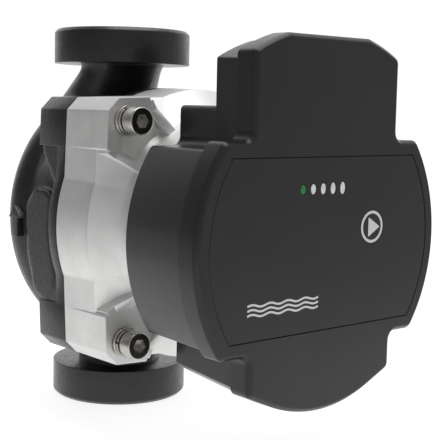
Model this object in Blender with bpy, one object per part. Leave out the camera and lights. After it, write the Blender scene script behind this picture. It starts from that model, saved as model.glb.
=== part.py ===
"""Wet-rotor circulator pump with an electronic control box, built as separate sub-parts.

World frame, in metres: the origin is the centre of the lower (inlet) port's sealing face, +Z runs
up the pipe axis to the outlet, and the motor and its control box point along -Y.

Nearly everything is modelled in the motor frame, an empty on the motor axis at mid-height. In that
frame x is to the right, y is up and z is forward, away from the pipe, so a "depth" below is always
a distance forward of the pipe axis.
"""

import math

import bmesh
import bpy
from mathutils import Matrix, Vector

MM = 0.001

# --- clearances -----------------------------------------------------------------------------------
GAP = 0.3 * MM  # between pieces that touch in the real object
RUNNING = 0.15 * MM  # radial, between the shaft and its bearings
SLOT_GAP = 0.2 * MM  # round the button, the panel and the light guides
BOLT_CLEARANCE = 0.3 * MM  # radial, round each screw's shank

# --- pump housing: ports, necks, volute -----------------------------------------------------------
PORT_TO_PORT = 130.0 * MM
PORT_RADIUS = 23.9 * MM  # outside of a G 1 1/2 connection
PORT_DISC = 12.0 * MM
PORT_CHAMFER = 1.25 * MM
PORT_MOUTH = 13.0 * MM  # radius of the bore at the sealing face
DUCT_RADIUS = 10.3 * MM
NECK_RADIUS = 14.0 * MM  # where a neck meets its port disc
NECK_FOOT_RADIUS = 17.2 * MM  # where it runs into the volute
NECK_SWEEP = 10.0 * MM  # how far back a neck's foot lies
NECK_FOOT = 38.0 * MM  # height of the foot above the motor axis
VOLUTE_RADIUS = 41.4 * MM
VOLUTE_HEIGHT = 45.6 * MM
VOLUTE_HALF_DEPTH = 20.0 * MM
VOLUTE_SETBACK = 5.0 * MM  # centre of the volute behind the pipe axis
SHOULDER_HALF = 38.2 * MM  # half width of the squarish body between the volute and the flange
FLANK_PAD = (9.2 * MM, 18.0 * MM)  # half depth and half height of the oval pad on each flank
FLANK_PAD_DEPTH = 12.0 * MM
FLANK_PAD_DROP = 7.3 * MM
FLANK_PAD_REACH = 41.5 * MM
ARROW_RAISE = 0.9 * MM
ARROW_LENGTH = 10.3 * MM
ARROW_WIDTH = 8.0 * MM
ARROW_SETBACK = -2.5 * MM

# --- the square flange that the pump housing and the motor share ----------------------------------
FLANGE_HALF = 41.0 * MM
FLANGE_CHAMFER = 4.0 * MM
FLANGE_SLANT = 0.8 * MM  # how much wider the flange grows from its corners to its bulges
FLANGE_BULGE = 44.7 * MM  # radius of the round bulge on each side
BLOCK_START = 25.3 * MM  # a corner block reaches from here to the flange's edge
BLOCK_INNER = 21.0 * MM
BLOCK_PROUD = 0.05 * MM  # the corner blocks stand this far beyond the flange's sides
SCREW_PITCH = 2 * (FLANGE_HALF - 6.9 * MM)
FLANGE_BACK = 12.0 * MM  # depths
BAND_BACK = 22.8 * MM
JOINT_FACE = 27.5 * MM
BULGE_FRONT = 44.3 * MM
FLANGE_DRAFT = 0.4 * MM
BLOCK_FRONT = 50.3 * MM

# --- hydraulics -----------------------------------------------------------------------------------
CHAMBER_RADIUS = 31.5 * MM
CHAMBER_FLOOR = 11.0 * MM
SCROLL_RADIUS = 29.0 * MM
SCROLL_SHIFT = (-4.5 * MM, 2.0 * MM)
SCROLL_DEPTH = (12.5 * MM, 24.5 * MM)
SUCTION_SETBACK = 8.0 * MM
EYE_RADIUS = 9.5 * MM
WEAR_RING_BORE = EYE_RADIUS + 1.2 * MM
WEAR_RING_RADIUS = WEAR_RING_BORE + 1.3 * MM
WEAR_RING_LENGTH = 4.4 * MM
IMPELLER_RADIUS = 27.0 * MM
IMPELLER_BACK = 24.0 * MM  # depth of the back plate's motor side
IMPELLER_PLATE = 1.4 * MM
IMPELLER_WIDTH = 8.4 * MM
IMPELLER_HUB_WALL = 2.5 * MM
VANE_COUNT = 6
VANE_THICKNESS = 1.6 * MM
VANE_SWEEP = math.radians(70)

# --- shaft, bearings, rotor and can ---------------------------------------------------------------
SHAFT_RADIUS = 3.0 * MM
SHAFT_ENDS = (15.5 * MM, 60.4 * MM)
BEARING_WALL = 3.5 * MM
BEARING_RADIUS = SHAFT_RADIUS + BEARING_WALL
IMPELLER_HUB = SHAFT_RADIUS + IMPELLER_HUB_WALL
BEARING_LENGTH = 6.0 * MM
PLATE_THICKNESS = 1.0 * MM
PLATE_DEPTH = 25.6 * MM
THRUST_LENGTH = 2.0 * MM
ROTOR_RADIUS = 14.6 * MM
ROTOR_ENDS = (34.2 * MM, 54.5 * MM)
WATER_GAP = 0.9 * MM  # radial, between the rotor and the can
CAN_BORE = ROTOR_RADIUS + WATER_GAP
CAN_WALL = 0.5 * MM
CAN_END = 61.6 * MM
CAN_FLANGE = FLANGE_BULGE - 7.9 * MM
CAN_FLANGE_THICKNESS = 0.8 * MM
GASKET_RADII = (CAN_FLANGE - 2.9 * MM, CAN_FLANGE - 0.1 * MM)
GASKET_THICKNESS = 1.0 * MM

# --- stator and motor housing ---------------------------------------------------------------------
MOTOR_RADIUS = 36.5 * MM
MOTOR_WALL = 5.2 * MM
STATOR_RADIUS = MOTOR_RADIUS - MOTOR_WALL - GAP
STATOR_BORE = CAN_BORE + CAN_WALL + 2 * GAP
STATOR_ENDS = (36.0 * MM, 57.0 * MM)
YOKE_BORE = STATOR_RADIUS - 4.5 * MM
TOOTH_COUNT = 6
TOOTH_WIDTH = 7.0 * MM
COIL_SIDE = 3.4 * MM
COIL_RADII = (STATOR_BORE + 1.6 * MM, YOKE_BORE - 1.9 * MM)
MOTOR_END = 67.5 * MM
MOTOR_END_WALL = 4.9 * MM
CONE_FOOT = 54.5 * MM  # depth where the bulge's cone meets the round motor housing
RIB_WIDTH = 3.3 * MM
RIB_ANGLE = math.radians(12.4)  # from the diagonal, two to a corner
RIB_START = 44.3 * MM
RIB_TOP = 55.5 * MM

# --- screws and washers ---------------------------------------------------------------------------
SCREW_RADIUS = 2.5 * MM
SCREW_HEAD_RADIUS = 4.25 * MM
SCREW_HEAD = 4.8 * MM
SCREW_HEX = 4.0 * MM
SCREW_HEX_DEPTH = 2.6 * MM
SCREW_END = 17.5 * MM  # depth of the shank's tip
FLAT_WASHER = (4.75 * MM, 1.0 * MM)  # radius, thickness
SPRING_WASHER = (4.4 * MM, 1.0 * MM)

# --- control box ----------------------------------------------------------------------------------
BOX_BACK = MOTOR_END + 0.4 * MM
BOX_SEAM = 94.8 * MM
BOX_FRONT = 102.6 * MM
BOX_BEVEL_WIDTH = 1.4 * MM
BOX_BEVEL = BOX_FRONT - BOX_BEVEL_WIDTH
SEAM_RADIUS = 49.4 * MM
BACK_RADIUS = SEAM_RADIUS - 2.4 * MM
SHELF_HEIGHT = 39.2 * MM
TALL_BACK = 85.2 * MM
COVER_RADIUS = SEAM_RADIUS + 0.2 * MM
COVER_FLAT = 29.75 * MM
COVER_NECK = 29.9 * MM  # half width of the two extensions
COVER_TOP_RADIUS = 61.8 * MM
COVER_TOP = 59.7 * MM
BASE_FLAT = COVER_FLAT - 2.35 * MM
BASE_NECK_BACK = COVER_NECK - 2.4 * MM
BASE_NECK_SEAM = COVER_NECK - 0.2 * MM
BASE_TOP_RADIUS = COVER_TOP_RADIUS - 1.8 * MM
BASE_TOP = COVER_TOP - 1.8 * MM
BOX_WALL = 2.2 * MM
FACE_WALL = 3.0 * MM
COVER_CORNER = 2.6 * MM
BASE_CORNER = 1.4 * MM
COVER_LOW_REACH = 20.0 * MM  # half width of the lowest arc; beyond it the edge runs on straight
BOX_FILLET = 2.6 * MM
PANEL_HALF_HEIGHT = 25.2 * MM
PANEL_RADIUS = COVER_RADIUS - 4.7 * MM
PANEL_THICKNESS = 0.8 * MM
SEAL_WIDTH = 1.4 * MM
SEAL_HALF_HEIGHT = 0.9 * MM

# --- button and lights ----------------------------------------------------------------------------
BUTTON_PLACE = (19.2 * MM, 3.9 * MM)
BUTTON_RADIUS = 5.0 * MM
BUTTON_CAP = 2.2 * MM
BUTTON_COLLAR = 1.2 * MM  # wider than the hole by this much
BUTTON_STEM = 2.0 * MM
BUTTON_TRAVEL = 0.8 * MM
LIGHT_COUNT = 5
LIGHT_FIRST = (-10.5 * MM, 16.1 * MM)
LIGHT_PITCH = 4.07 * MM
LIGHT_HALF_WIDTH = 1.0 * MM
LIGHT_HALF_HEIGHT = 1.35 * MM  # of the first light
LIGHT_GROWTH = 0.12 * MM  # half height gained from one light to the next
LIGHT_LENGTH = 4.2 * MM

# --- electronics ----------------------------------------------------------------------------------
BOARD_BACK = BOX_SEAM - 6.3 * MM
BOARD_THICKNESS = 1.6 * MM
BOARD_POST = (38.0 * MM, 3.0 * MM)  # distance from the axis, radius
BOARD_SCREW = (1.25 * MM, 2.6 * MM, 1.8 * MM)  # shank radius, head radius, head height
BASE_SCREW = (1.7 * MM, 3.4 * MM, 2.4 * MM)
BASE_SCREW_CIRCLE = 28.0 * MM
SWITCH_SIZE = (6.0 * MM, 3.5 * MM)
PLUNGER_RADIUS = 1.5 * MM
LEAD_BLOCK = (16.0 * MM, 6.0 * MM)
LEAD_BLOCK_DROP = 19.0 * MM
SOCKET_HEIGHT = 47.8 * MM  # of both sockets' centres above the motor axis
SOCKET_MOUTH = 78.5 * MM
SOCKET_WALL = 1.4 * MM
SOCKET_FLOOR = 1.0 * MM
MAINS_SOCKET = (-10.6 * MM, 23.0 * MM, 13.0 * MM)  # centre, width, height
MAINS_PIN = (0.5 * MM, 1.4 * MM, 4.2 * MM)  # half thickness, half height, length
MAINS_PIN_PITCH = 6.6 * MM
SIGNAL_SOCKET = (13.5 * MM, 15.0 * MM, 10.0 * MM)
PLUG_HEAD = 1.6 * MM

ROUND = 36  # facets of a large round piece
INNER_ROUND = 24  # of one that is sealed inside
SMALL_ROUND = 16
TINY_ROUND = 12
ARC_STEPS = 8
CORNER_STEPS = 2


# --- scene, materials and objects -----------------------------------------------------------------
def clear_scene():
    for obj in list(bpy.data.objects):
        bpy.data.objects.remove(obj, do_unlink=True)


def make_material(name, colour, roughness, metallic):
    material = bpy.data.materials.new(name)
    material.use_nodes = True
    shader = material.node_tree.nodes["Principled BSDF"]
    shader.inputs["Base Color"].default_value = (*colour, 1.0)
    shader.inputs["Roughness"].default_value = roughness
    shader.inputs["Metallic"].default_value = metallic
    material.diffuse_color = (*colour, 1.0)
    return material


def make_empty(name, place=(0.0, 0.0, 0.0), turn=(0.0, 0.0, 0.0), parent=None):
    empty = bpy.data.objects.new(name, None)
    empty.location = place
    empty.rotation_euler = turn
    empty.parent = parent
    bpy.context.scene.collection.objects.link(empty)
    return empty


def make_object(name, shape, parent, look=None):
    """Turns a bmesh into an object under an empty; look is (colour, roughness, metallic)."""
    bmesh.ops.recalc_face_normals(shape, faces=shape.faces)
    mesh = bpy.data.meshes.new(name)
    shape.to_mesh(mesh)
    shape.free()
    mesh.shade_smooth()
    mesh.set_sharp_from_angle(angle=math.radians(35))
    obj = bpy.data.objects.new(name, mesh)
    obj.parent = parent
    bpy.context.scene.collection.objects.link(obj)
    if look:
        mesh.materials.append(make_material(name, *look))
    return obj


def make_helper(name, shape, parent):
    """A shape that a Boolean uses and that isn't a piece itself."""
    helper = make_object(name, shape, parent)
    helper.hide_render = True
    helper.display_type = "WIRE"
    return helper


def boolean(obj, operation, *helpers):
    for helper in helpers:
        modifier = obj.modifiers.new(helper.name, "BOOLEAN")
        modifier.operation = operation
        modifier.solver = "EXACT"
        modifier.object = helper
    return obj


# --- shapes ---------------------------------------------------------------------------------------
def turned(profile, facets=ROUND, closed=True, about_pipe=False):
    """A profile of (depth, radius) points spun about the motor axis, or of (height, radius) points
    about the pipe axis. An open profile starts and ends on the axis."""
    shape = bmesh.new()
    points = [shape.verts.new((radius, 0.0, along)) for along, radius in profile]
    pairs = list(zip(points, points[1:]))
    if closed:
        pairs.append((points[-1], points[0]))
    edges = [shape.edges.new(pair) for pair in pairs]
    turn = 2 * math.pi
    whole = points + edges
    bmesh.ops.spin(shape, geom=whole, axis=(0, 0, 1), angle=turn, steps=facets, use_merge=True)
    bmesh.ops.remove_doubles(shape, verts=shape.verts, dist=0.001 * MM)
    if about_pipe:
        shape.transform(Matrix.Rotation(math.radians(-90), 4, "X"))
    return shape


def ring(inner, outer, low, high, facets=SMALL_ROUND):
    return turned([(low, inner), (low, outer), (high, outer), (high, inner)], facets)


def rod(radius, low, high, facets=SMALL_ROUND):
    return turned([(low, 0.0), (low, radius), (high, radius), (high, 0.0)], facets, closed=False)


def skinned(sections):
    """A closed body through sections that all have the same number of points."""
    shape = bmesh.new()
    rows = [[shape.verts.new(point) for point in section] for section in sections]
    count = len(rows[0])
    for row, following in zip(rows, rows[1:]):
        for i in range(count):
            j = (i + 1) % count
            shape.faces.new((row[i], row[j], following[j], following[i]))
    shape.faces.new(rows[0])
    shape.faces.new(rows[-1])
    return shape


def at_depth(outline, depth):
    return [(x, y, depth) for x, y in outline]


def prism(outline, low, high):
    return skinned([at_depth(outline, low), at_depth(outline, high)])


def framed(outer, inner, low, high):
    """A prism with a hole: the outer and inner outlines have the same number of points."""
    shape = bmesh.new()
    loops = []
    for outline, depth in ((outer, low), (outer, high), (inner, high), (inner, low)):
        loops.append([shape.verts.new((x, y, depth)) for x, y in outline])
    count = len(outer)
    for k, loop in enumerate(loops):
        following = loops[(k + 1) % len(loops)]
        for i in range(count):
            j = (i + 1) % count
            shape.faces.new((loop[i], loop[j], following[j], following[i]))
    return shape


def block(centre, size, low, high):
    half_x, half_y = size[0] / 2, size[1] / 2
    x, y = centre
    corners = [(x + sx * half_x, y + sy * half_y) for sx, sy in ((-1, -1), (1, -1), (1, 1), (-1, 1))]
    return prism(corners, low, high)


def moved(shape, x, y, depth=0.0):
    shape.transform(Matrix.Translation((x, y, depth)))
    return shape


def spun(shape, angle):
    shape.transform(Matrix.Rotation(angle, 4, "Z"))
    return shape


def gathered(shapes):
    """Several separate shapes in one bmesh, for a helper that cuts or joins all of them."""
    whole = bmesh.new()
    for shape in shapes:
        part = bpy.data.meshes.new("gathered")
        shape.to_mesh(part)
        shape.free()
        whole.from_mesh(part)
        bpy.data.meshes.remove(part)
    return whole


def rounded(corners, steps=CORNER_STEPS):
    """The outline through (x, y, radius) corners, each with its radius turned into a fillet."""
    outline = []
    for i, (x, y, radius) in enumerate(corners):
        here = Vector((x, y))
        if radius <= 0:
            outline.append((x, y))
            continue
        before = (Vector(corners[i - 1][:2]) - here)
        after = (Vector(corners[(i + 1) % len(corners)][:2]) - here)
        half = before.angle(after) / 2
        reach = min(radius / math.tan(half), 0.45 * before.length, 0.45 * after.length)
        radius = reach * math.tan(half)
        before.normalize()
        after.normalize()
        centre = here + (before + after).normalized() * radius / math.sin(half)
        start = here + before * reach - centre
        turn = start.angle_signed(here + after * reach - centre)
        for k in range(steps + 1):
            swing = Matrix.Rotation(-turn * k / steps, 2)
            point = centre + swing @ start
            outline.append((point.x, point.y))
    return outline


def arc(radius, start, end, steps=ARC_STEPS):
    angles = [start + (end - start) * k / steps for k in range(steps + 1)]
    return [(radius * math.cos(a), radius * math.sin(a)) for a in angles]


def ellipse(half_width, half_height, facets=TINY_ROUND):
    angles = [2 * math.pi * k / facets for k in range(facets)]
    return [(half_width * math.cos(a), half_height * math.sin(a)) for a in angles]


def corner_places():
    half = SCREW_PITCH / 2
    return [(half, half), (-half, half), (-half, -half), (half, -half)]


def flange_outline(grow=0.0):
    """A chamfered square whose four sides each carry a shallow round bulge."""
    half = FLANGE_HALF + grow
    bulge = FLANGE_BULGE + grow
    reach = math.acos((half + FLANGE_SLANT) / bulge)
    quarter = [(half, -half + FLANGE_CHAMFER)]
    quarter += arc(bulge, -reach, reach, 6)
    quarter += [(half, half - FLANGE_CHAMFER)]
    outline = []
    for k in range(4):
        swing = Matrix.Rotation(math.radians(90 * k), 2)
        outline += [tuple(swing @ Vector(point)) for point in quarter]
    return outline


def corner_block(low, high):
    """One corner of the flange, before it is turned to its place."""
    edge = FLANGE_HALF + BLOCK_PROUD
    cut = edge - FLANGE_CHAMFER
    start, inner = BLOCK_START, BLOCK_INNER
    foot = FLANGE_BULGE * math.sin(math.acos((FLANGE_HALF + FLANGE_SLANT) / FLANGE_BULGE))
    wide = edge + FLANGE_SLANT * (cut - start) / (cut - foot)
    outline = [(inner, start), (start, inner), (wide, start), (edge, cut), (cut, edge), (start, wide)]
    return prism(outline, low, high)


def box_outline(radius, flat, neck, top, corner, top_radius=None, low_reach=None, grow=0.0):
    """Outline of the control box: a circle cut flat above and below, with an extension up to a
    terminal part and another down to the circle's own lowest arc, which may end in a straight."""
    radius += grow
    flat += grow
    neck += grow
    top += grow
    corner = max(corner + grow, 0.5 * MM)
    fillet = max(BOX_FILLET - grow, 0.5 * MM)
    swing = math.asin((low_reach or neck) / radius)
    right = [(x, y, 0.0) for x, y in arc(radius, -math.pi / 2, -math.pi / 2 + swing, 4)]
    if low_reach:
        right.append((neck, right[-1][1] + (neck - right[-1][0]) * math.tan(swing), 0.0))
    right[-1] = (*right[-1][:2], corner)
    right.append((neck, -flat, fillet))
    reach = math.asin(flat / radius)
    side = [(x, y, 0.0) for x, y in arc(radius, -reach, reach)]
    side[0] = (*side[0][:2], corner)
    side[-1] = (*side[-1][:2], corner)
    right += side
    right.append((neck, flat, fillet))
    if top_radius:
        top_radius += grow
        crown = arc(top_radius, math.acos(neck / top_radius), math.asin(top / top_radius), 4)
        right.append((*crown[0], corner))
        right += [(x, y, 0.0) for x, y in crown[1:]]
    else:
        right.append((neck, top, corner))
    left = [(-x, y, r) for x, y, r in reversed(right) if x > 0.01 * MM]
    return rounded(right + left)


def base_section(share, grow=0.0):
    """The back shell's outline with its shelf, from its back (share 0) to the seam (share 1)."""
    neck = BASE_NECK_BACK + (BASE_NECK_SEAM - BASE_NECK_BACK) * share
    radius = BACK_RADIUS + (SEAM_RADIUS - BACK_RADIUS) * share
    return box_outline(radius, BASE_FLAT, neck, SHELF_HEIGHT, BASE_CORNER, grow=grow)


def tall_section(depth, grow=0.0):
    """The outline of the back shell's tall part alone."""
    share = (depth - BOX_BACK) / (BOX_SEAM - BOX_BACK)
    neck = BASE_NECK_BACK + (BASE_NECK_SEAM - BASE_NECK_BACK) * share + grow
    radius = BASE_TOP_RADIUS + grow
    crown = arc(radius, math.acos(neck / radius), math.asin((BASE_TOP + grow) / radius), 4)
    right = [(neck, BASE_FLAT / 2, 0.0), (*crown[0], max(BASE_CORNER + grow, 0.5 * MM))]
    right += [(x, y, 0.0) for x, y in crown[1:]]
    return rounded(right + [(-x, y, r) for x, y, r in reversed(right)])


def cover_section(grow=0.0):
    return box_outline(COVER_RADIUS, COVER_FLAT, COVER_NECK, COVER_TOP, COVER_CORNER, COVER_TOP_RADIUS,
                       COVER_LOW_REACH, grow)


def panel_outline(grow=0.0):
    reach = math.asin((PANEL_HALF_HEIGHT + grow) / (PANEL_RADIUS + grow))
    right = arc(PANEL_RADIUS + grow, -reach, reach)
    return right + [(-x, y) for x, y in reversed(right)]


def light_places():
    return [(LIGHT_FIRST[0] + LIGHT_PITCH * k, LIGHT_FIRST[1]) for k in range(LIGHT_COUNT)]


def light_shape(k, grow, low, high):
    shape = prism(ellipse(LIGHT_HALF_WIDTH + grow, LIGHT_HALF_HEIGHT + LIGHT_GROWTH * k + grow), low, high)
    return moved(shape, *light_places()[k])


def hexagon(across_flats):
    return arc(across_flats / math.sqrt(3), 0.0, 2 * math.pi, 6)[:-1]


# --- looks: colour, roughness, metallic -----------------------------------------------------------
CAST_IRON = ((0.012, 0.012, 0.013), 0.42, 0.0)
ALUMINIUM = ((0.60, 0.60, 0.60), 0.45, 1.0)
STEEL = ((0.56, 0.54, 0.51), 0.30, 1.0)
BOX_PLASTIC = ((0.045, 0.045, 0.047), 0.45, 0.0)
PALE_MARK = ((0.72, 0.72, 0.72), 0.40, 0.0)
GREEN_LIGHT = ((0.01, 0.16, 0.04), 0.30, 0.0)
STAINLESS = ((0.62, 0.62, 0.60), 0.28, 1.0)
CERAMIC = ((0.80, 0.78, 0.72), 0.25, 0.0)
CARBON = ((0.03, 0.03, 0.03), 0.50, 0.0)
IMPELLER_PLASTIC = ((0.55, 0.50, 0.38), 0.45, 0.0)
MAGNET = ((0.10, 0.10, 0.11), 0.35, 1.0)
RUBBER = ((0.02, 0.02, 0.02), 0.80, 0.0)
LAMINATION = ((0.30, 0.30, 0.31), 0.50, 1.0)
COPPER = ((0.70, 0.28, 0.12), 0.35, 1.0)
BOARD = ((0.01, 0.12, 0.05), 0.50, 0.0)
DARK_PART = ((0.03, 0.03, 0.035), 0.40, 0.0)


# --- pump housing and what sits in it -------------------------------------------------------------
def duct(sections, facets=SMALL_ROUND):
    """A round passage through (height, depth, radius) sections, each lying level."""
    rows = []
    for height, depth, radius in sections:
        angles = [2 * math.pi * k / facets for k in range(facets)]
        rows.append([(radius * math.cos(a), height, depth + radius * math.sin(a)) for a in angles])
    return skinned(rows)


def neck_sections(side):
    """The outside of a neck, from inside its port disc down to its foot in the volute."""
    port = PORT_TO_PORT / 2 - PORT_DISC
    start = (side * (port + 2 * MM), 0.0, NECK_RADIUS)
    rows = [start, (side * port, 0.0, NECK_RADIUS)]
    for share in (0.25, 0.5, 0.75, 1.0):
        height = port + (NECK_FOOT - port) * share
        sweep = NECK_SWEEP * share
        radius = NECK_RADIUS + (NECK_FOOT_RADIUS - NECK_RADIUS) * share
        rows.append((side * height, -sweep, radius))
    rows.append((side * (NECK_FOOT - 12 * MM), -NECK_SWEEP, NECK_FOOT_RADIUS))
    return rows


def volute_shape():
    """An egg-shaped body, a little taller than wide, lying behind the flange."""
    shape = bmesh.new()
    bmesh.ops.create_uvsphere(shape, u_segments=28, v_segments=14, radius=1.0)
    shape.transform(Matrix.Diagonal((VOLUTE_RADIUS, VOLUTE_HEIGHT, VOLUTE_HALF_DEPTH, 1.0)))
    return moved(shape, 0.0, 0.0, -VOLUTE_SETBACK)


def flank_pad():
    """An oval boss on each side of the volute, lying across the housing."""
    outline = ellipse(*FLANK_PAD, SMALL_ROUND)
    shape = prism(outline, -FLANK_PAD_REACH, FLANK_PAD_REACH)
    shape.transform(Matrix.Rotation(math.radians(90), 4, "Y"))
    return moved(shape, 0.0, -FLANK_PAD_DROP, FLANK_PAD_DEPTH)


def flow_arrow():
    """The cast-in arrow that points to the outlet, on the left flank."""
    head = 0.39 * ARROW_LENGTH
    shaft = 0.25 * ARROW_WIDTH
    outline = [
        (-shaft, -ARROW_LENGTH / 2),
        (shaft, -ARROW_LENGTH / 2),
        (shaft, ARROW_LENGTH / 2 - head),
        (ARROW_WIDTH / 2, ARROW_LENGTH / 2 - head),
        (0.0, ARROW_LENGTH / 2),
        (-ARROW_WIDTH / 2, ARROW_LENGTH / 2 - head),
        (-shaft, ARROW_LENGTH / 2 - head),
    ]
    shape = prism(outline, -6 * MM, ARROW_RAISE)
    shape.transform(Matrix.Rotation(math.radians(-90), 4, "Y"))
    return moved(shape, -VOLUTE_RADIUS, -MM, ARROW_SETBACK)


def squarish(half, power):
    """An outline between a circle (power 2) and a square (a high power)."""
    outline = []
    for x, y in arc(1.0, math.radians(3), math.radians(363), ROUND)[:-1]:
        reach = half / (abs(x) ** power + abs(y) ** power) ** (1 / power)
        outline.append((x * reach, y * reach))
    return outline


def shoulder():
    """The body that grows from the round volute to the square flange."""
    half = SHOULDER_HALF
    stages = [(-VOLUTE_SETBACK, 2.0), (3 * MM, 2.3), (8 * MM, 3.2), (FLANGE_BACK + 1.5 * MM, 5.0),
              (BAND_BACK + MM, 5.0)]
    return skinned([at_depth(squarish(half, power), depth) for depth, power in stages])


def make_pump_housing(frame):
    half = PORT_TO_PORT / 2
    body = make_object("pump_housing", prism(flange_outline(), BAND_BACK, JOINT_FACE), frame, CAST_IRON)
    blocks = [spun(corner_block(FLANGE_BACK, JOINT_FACE - MM), math.radians(90 * k)) for k in range(4)]
    boolean(body, "UNION", make_helper("join_volute", volute_shape(), frame))
    boolean(body, "UNION", make_helper("join_shoulder", shoulder(), frame))
    boolean(body, "UNION", make_helper("join_corner_blocks", gathered(blocks), frame))
    boolean(body, "UNION", make_helper("join_flank_pad", flank_pad(), frame))
    boolean(body, "UNION", make_helper("join_arrow", flow_arrow(), frame))
    for side, name in ((1, "outlet"), (-1, "inlet")):
        disc = turned(
            [
                (side * (half - PORT_DISC), 0.0),
                (side * (half - PORT_DISC), PORT_RADIUS),
                (side * (half - PORT_CHAMFER), PORT_RADIUS),
                (side * half, PORT_RADIUS - PORT_CHAMFER),
                (side * half, 0.0),
            ],
            closed=False,
            about_pipe=True,
        )
        boolean(body, "UNION", make_helper(f"join_{name}_neck", duct(neck_sections(side), 24), frame))
        boolean(body, "UNION", make_helper(f"join_{name}_disc", disc, frame))
    cutters = [
        ("chamber", rod(CHAMBER_RADIUS, CHAMBER_FLOOR, JOINT_FACE + MM, ROUND)),
        ("scroll", moved(rod(SCROLL_RADIUS, *SCROLL_DEPTH, ROUND), *SCROLL_SHIFT)),
        ("eye", spun(rod(EYE_RADIUS, -SUCTION_SETBACK, CHAMBER_FLOOR + MM), math.radians(4))),
        ("wear_ring_seat", rod(WEAR_RING_RADIUS + GAP, CHAMBER_FLOOR - WEAR_RING_LENGTH / 2, CHAMBER_FLOOR + MM)),
        ("gasket_seat", ring(GASKET_RADII[0] - GAP, GASKET_RADII[1] + GAP, JOINT_FACE - GASKET_THICKNESS - GAP,
                             JOINT_FACE + MM, INNER_ROUND)),
        ("suction", duct([(-half - MM, 0.0, PORT_MOUTH), (-half + 8 * MM, 0.0, PORT_MOUTH),
                          (-half + PORT_DISC, 0.0, DUCT_RADIUS), (-42 * MM, -5 * MM, DUCT_RADIUS),
                          (-24 * MM, -SUCTION_SETBACK, DUCT_RADIUS), (DUCT_RADIUS, -SUCTION_SETBACK, DUCT_RADIUS)])),
        ("discharge", duct([(half + MM, 0.0, PORT_MOUTH), (half - 8 * MM, 0.0, PORT_MOUTH),
                            (half - PORT_DISC, 0.0, DUCT_RADIUS), (42 * MM, -4 * MM, DUCT_RADIUS - MM),
                            (33 * MM, 5 * MM, DUCT_RADIUS - 2 * MM), (22 * MM, 17 * MM, DUCT_RADIUS - 3 * MM)])),
    ]
    threads = [moved(rod(SCREW_RADIUS + BOLT_CLEARANCE, SCREW_END - GAP, JOINT_FACE + MM, TINY_ROUND), *place)
               for place in corner_places()]
    cutters.append(("threads", gathered(threads)))
    boolean(body, "DIFFERENCE", *[make_helper("cut_" + name, shape, frame) for name, shape in cutters])


def make_wear_ring(frame):
    low = CHAMBER_FLOOR - WEAR_RING_LENGTH / 2 + GAP
    make_object("wear_ring", ring(WEAR_RING_BORE, WEAR_RING_RADIUS, low, low + WEAR_RING_LENGTH), frame, STAINLESS)


# --- rotating group -------------------------------------------------------------------------------
def vane():
    """One backward-swept blade: a thin strip that follows a spiral from the eye to the rim."""
    steps = 6
    low = IMPELLER_BACK - IMPELLER_WIDTH
    inner, outer = EYE_RADIUS + 0.5 * MM, IMPELLER_RADIUS - 0.8 * MM
    sides = ([], [])
    for k in range(steps + 1):
        share = k / steps
        radius = inner + (outer - inner) * share
        angle = -VANE_SWEEP * share
        for side, sign in zip(sides, (-1, 1)):
            lean = angle + sign * VANE_THICKNESS / 2 / radius
            side.append((radius * math.cos(lean), radius * math.sin(lean)))
    return prism(sides[0] + sides[1][::-1], low, IMPELLER_BACK - 0.5 * MM)


def make_impeller(frame):
    bore = SHAFT_RADIUS + RUNNING
    plate = turned(
        [
            (IMPELLER_BACK, bore),
            (IMPELLER_BACK, IMPELLER_RADIUS),
            (IMPELLER_BACK - IMPELLER_PLATE, IMPELLER_RADIUS),
            (IMPELLER_BACK - 2 * IMPELLER_PLATE, IMPELLER_HUB + 2 * MM),
            (IMPELLER_BACK - IMPELLER_WIDTH, IMPELLER_HUB),
            (IMPELLER_BACK - IMPELLER_WIDTH, bore),
        ],
        INNER_ROUND,
    )
    impeller = make_object("impeller", plate, frame, IMPELLER_PLASTIC)
    vanes = [spun(vane(), 2 * math.pi * k / VANE_COUNT) for k in range(VANE_COUNT)]
    boolean(impeller, "UNION", make_helper("join_vanes", gathered(vanes), frame))
    front = IMPELLER_BACK - IMPELLER_WIDTH - GAP
    back = front - IMPELLER_PLATE
    lip = CHAMBER_FLOOR - WEAR_RING_LENGTH / 2 + 2 * GAP
    neck = WEAR_RING_BORE - 2 * RUNNING
    shroud = turned(
        [
            (front, EYE_RADIUS - MM),
            (front, IMPELLER_RADIUS),
            (back, IMPELLER_RADIUS),
            (back, neck),
            (lip, neck),
            (lip, EYE_RADIUS - MM),
        ],
        INNER_ROUND,
    )
    make_object("impeller_shroud", shroud, frame, IMPELLER_PLASTIC)


def make_rotor_group(frame):
    bore = SHAFT_RADIUS + RUNNING
    make_object("shaft", rod(SHAFT_RADIUS, *SHAFT_ENDS), frame, CERAMIC)
    rotor = turned(
        [
            (ROTOR_ENDS[0], bore),
            (ROTOR_ENDS[0], ROTOR_RADIUS - MM),
            (ROTOR_ENDS[0] + MM, ROTOR_RADIUS),
            (ROTOR_ENDS[1] - MM, ROTOR_RADIUS),
            (ROTOR_ENDS[1], ROTOR_RADIUS - MM),
            (ROTOR_ENDS[1], bore),
        ],
        INNER_ROUND,
    )
    make_object("rotor", rotor, frame, MAGNET)
    thrust = ROTOR_ENDS[0] - GAP
    make_object("thrust_bearing", ring(bore, BEARING_RADIUS, thrust - THRUST_LENGTH, thrust), frame, CARBON)
    make_impeller(frame)


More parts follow.
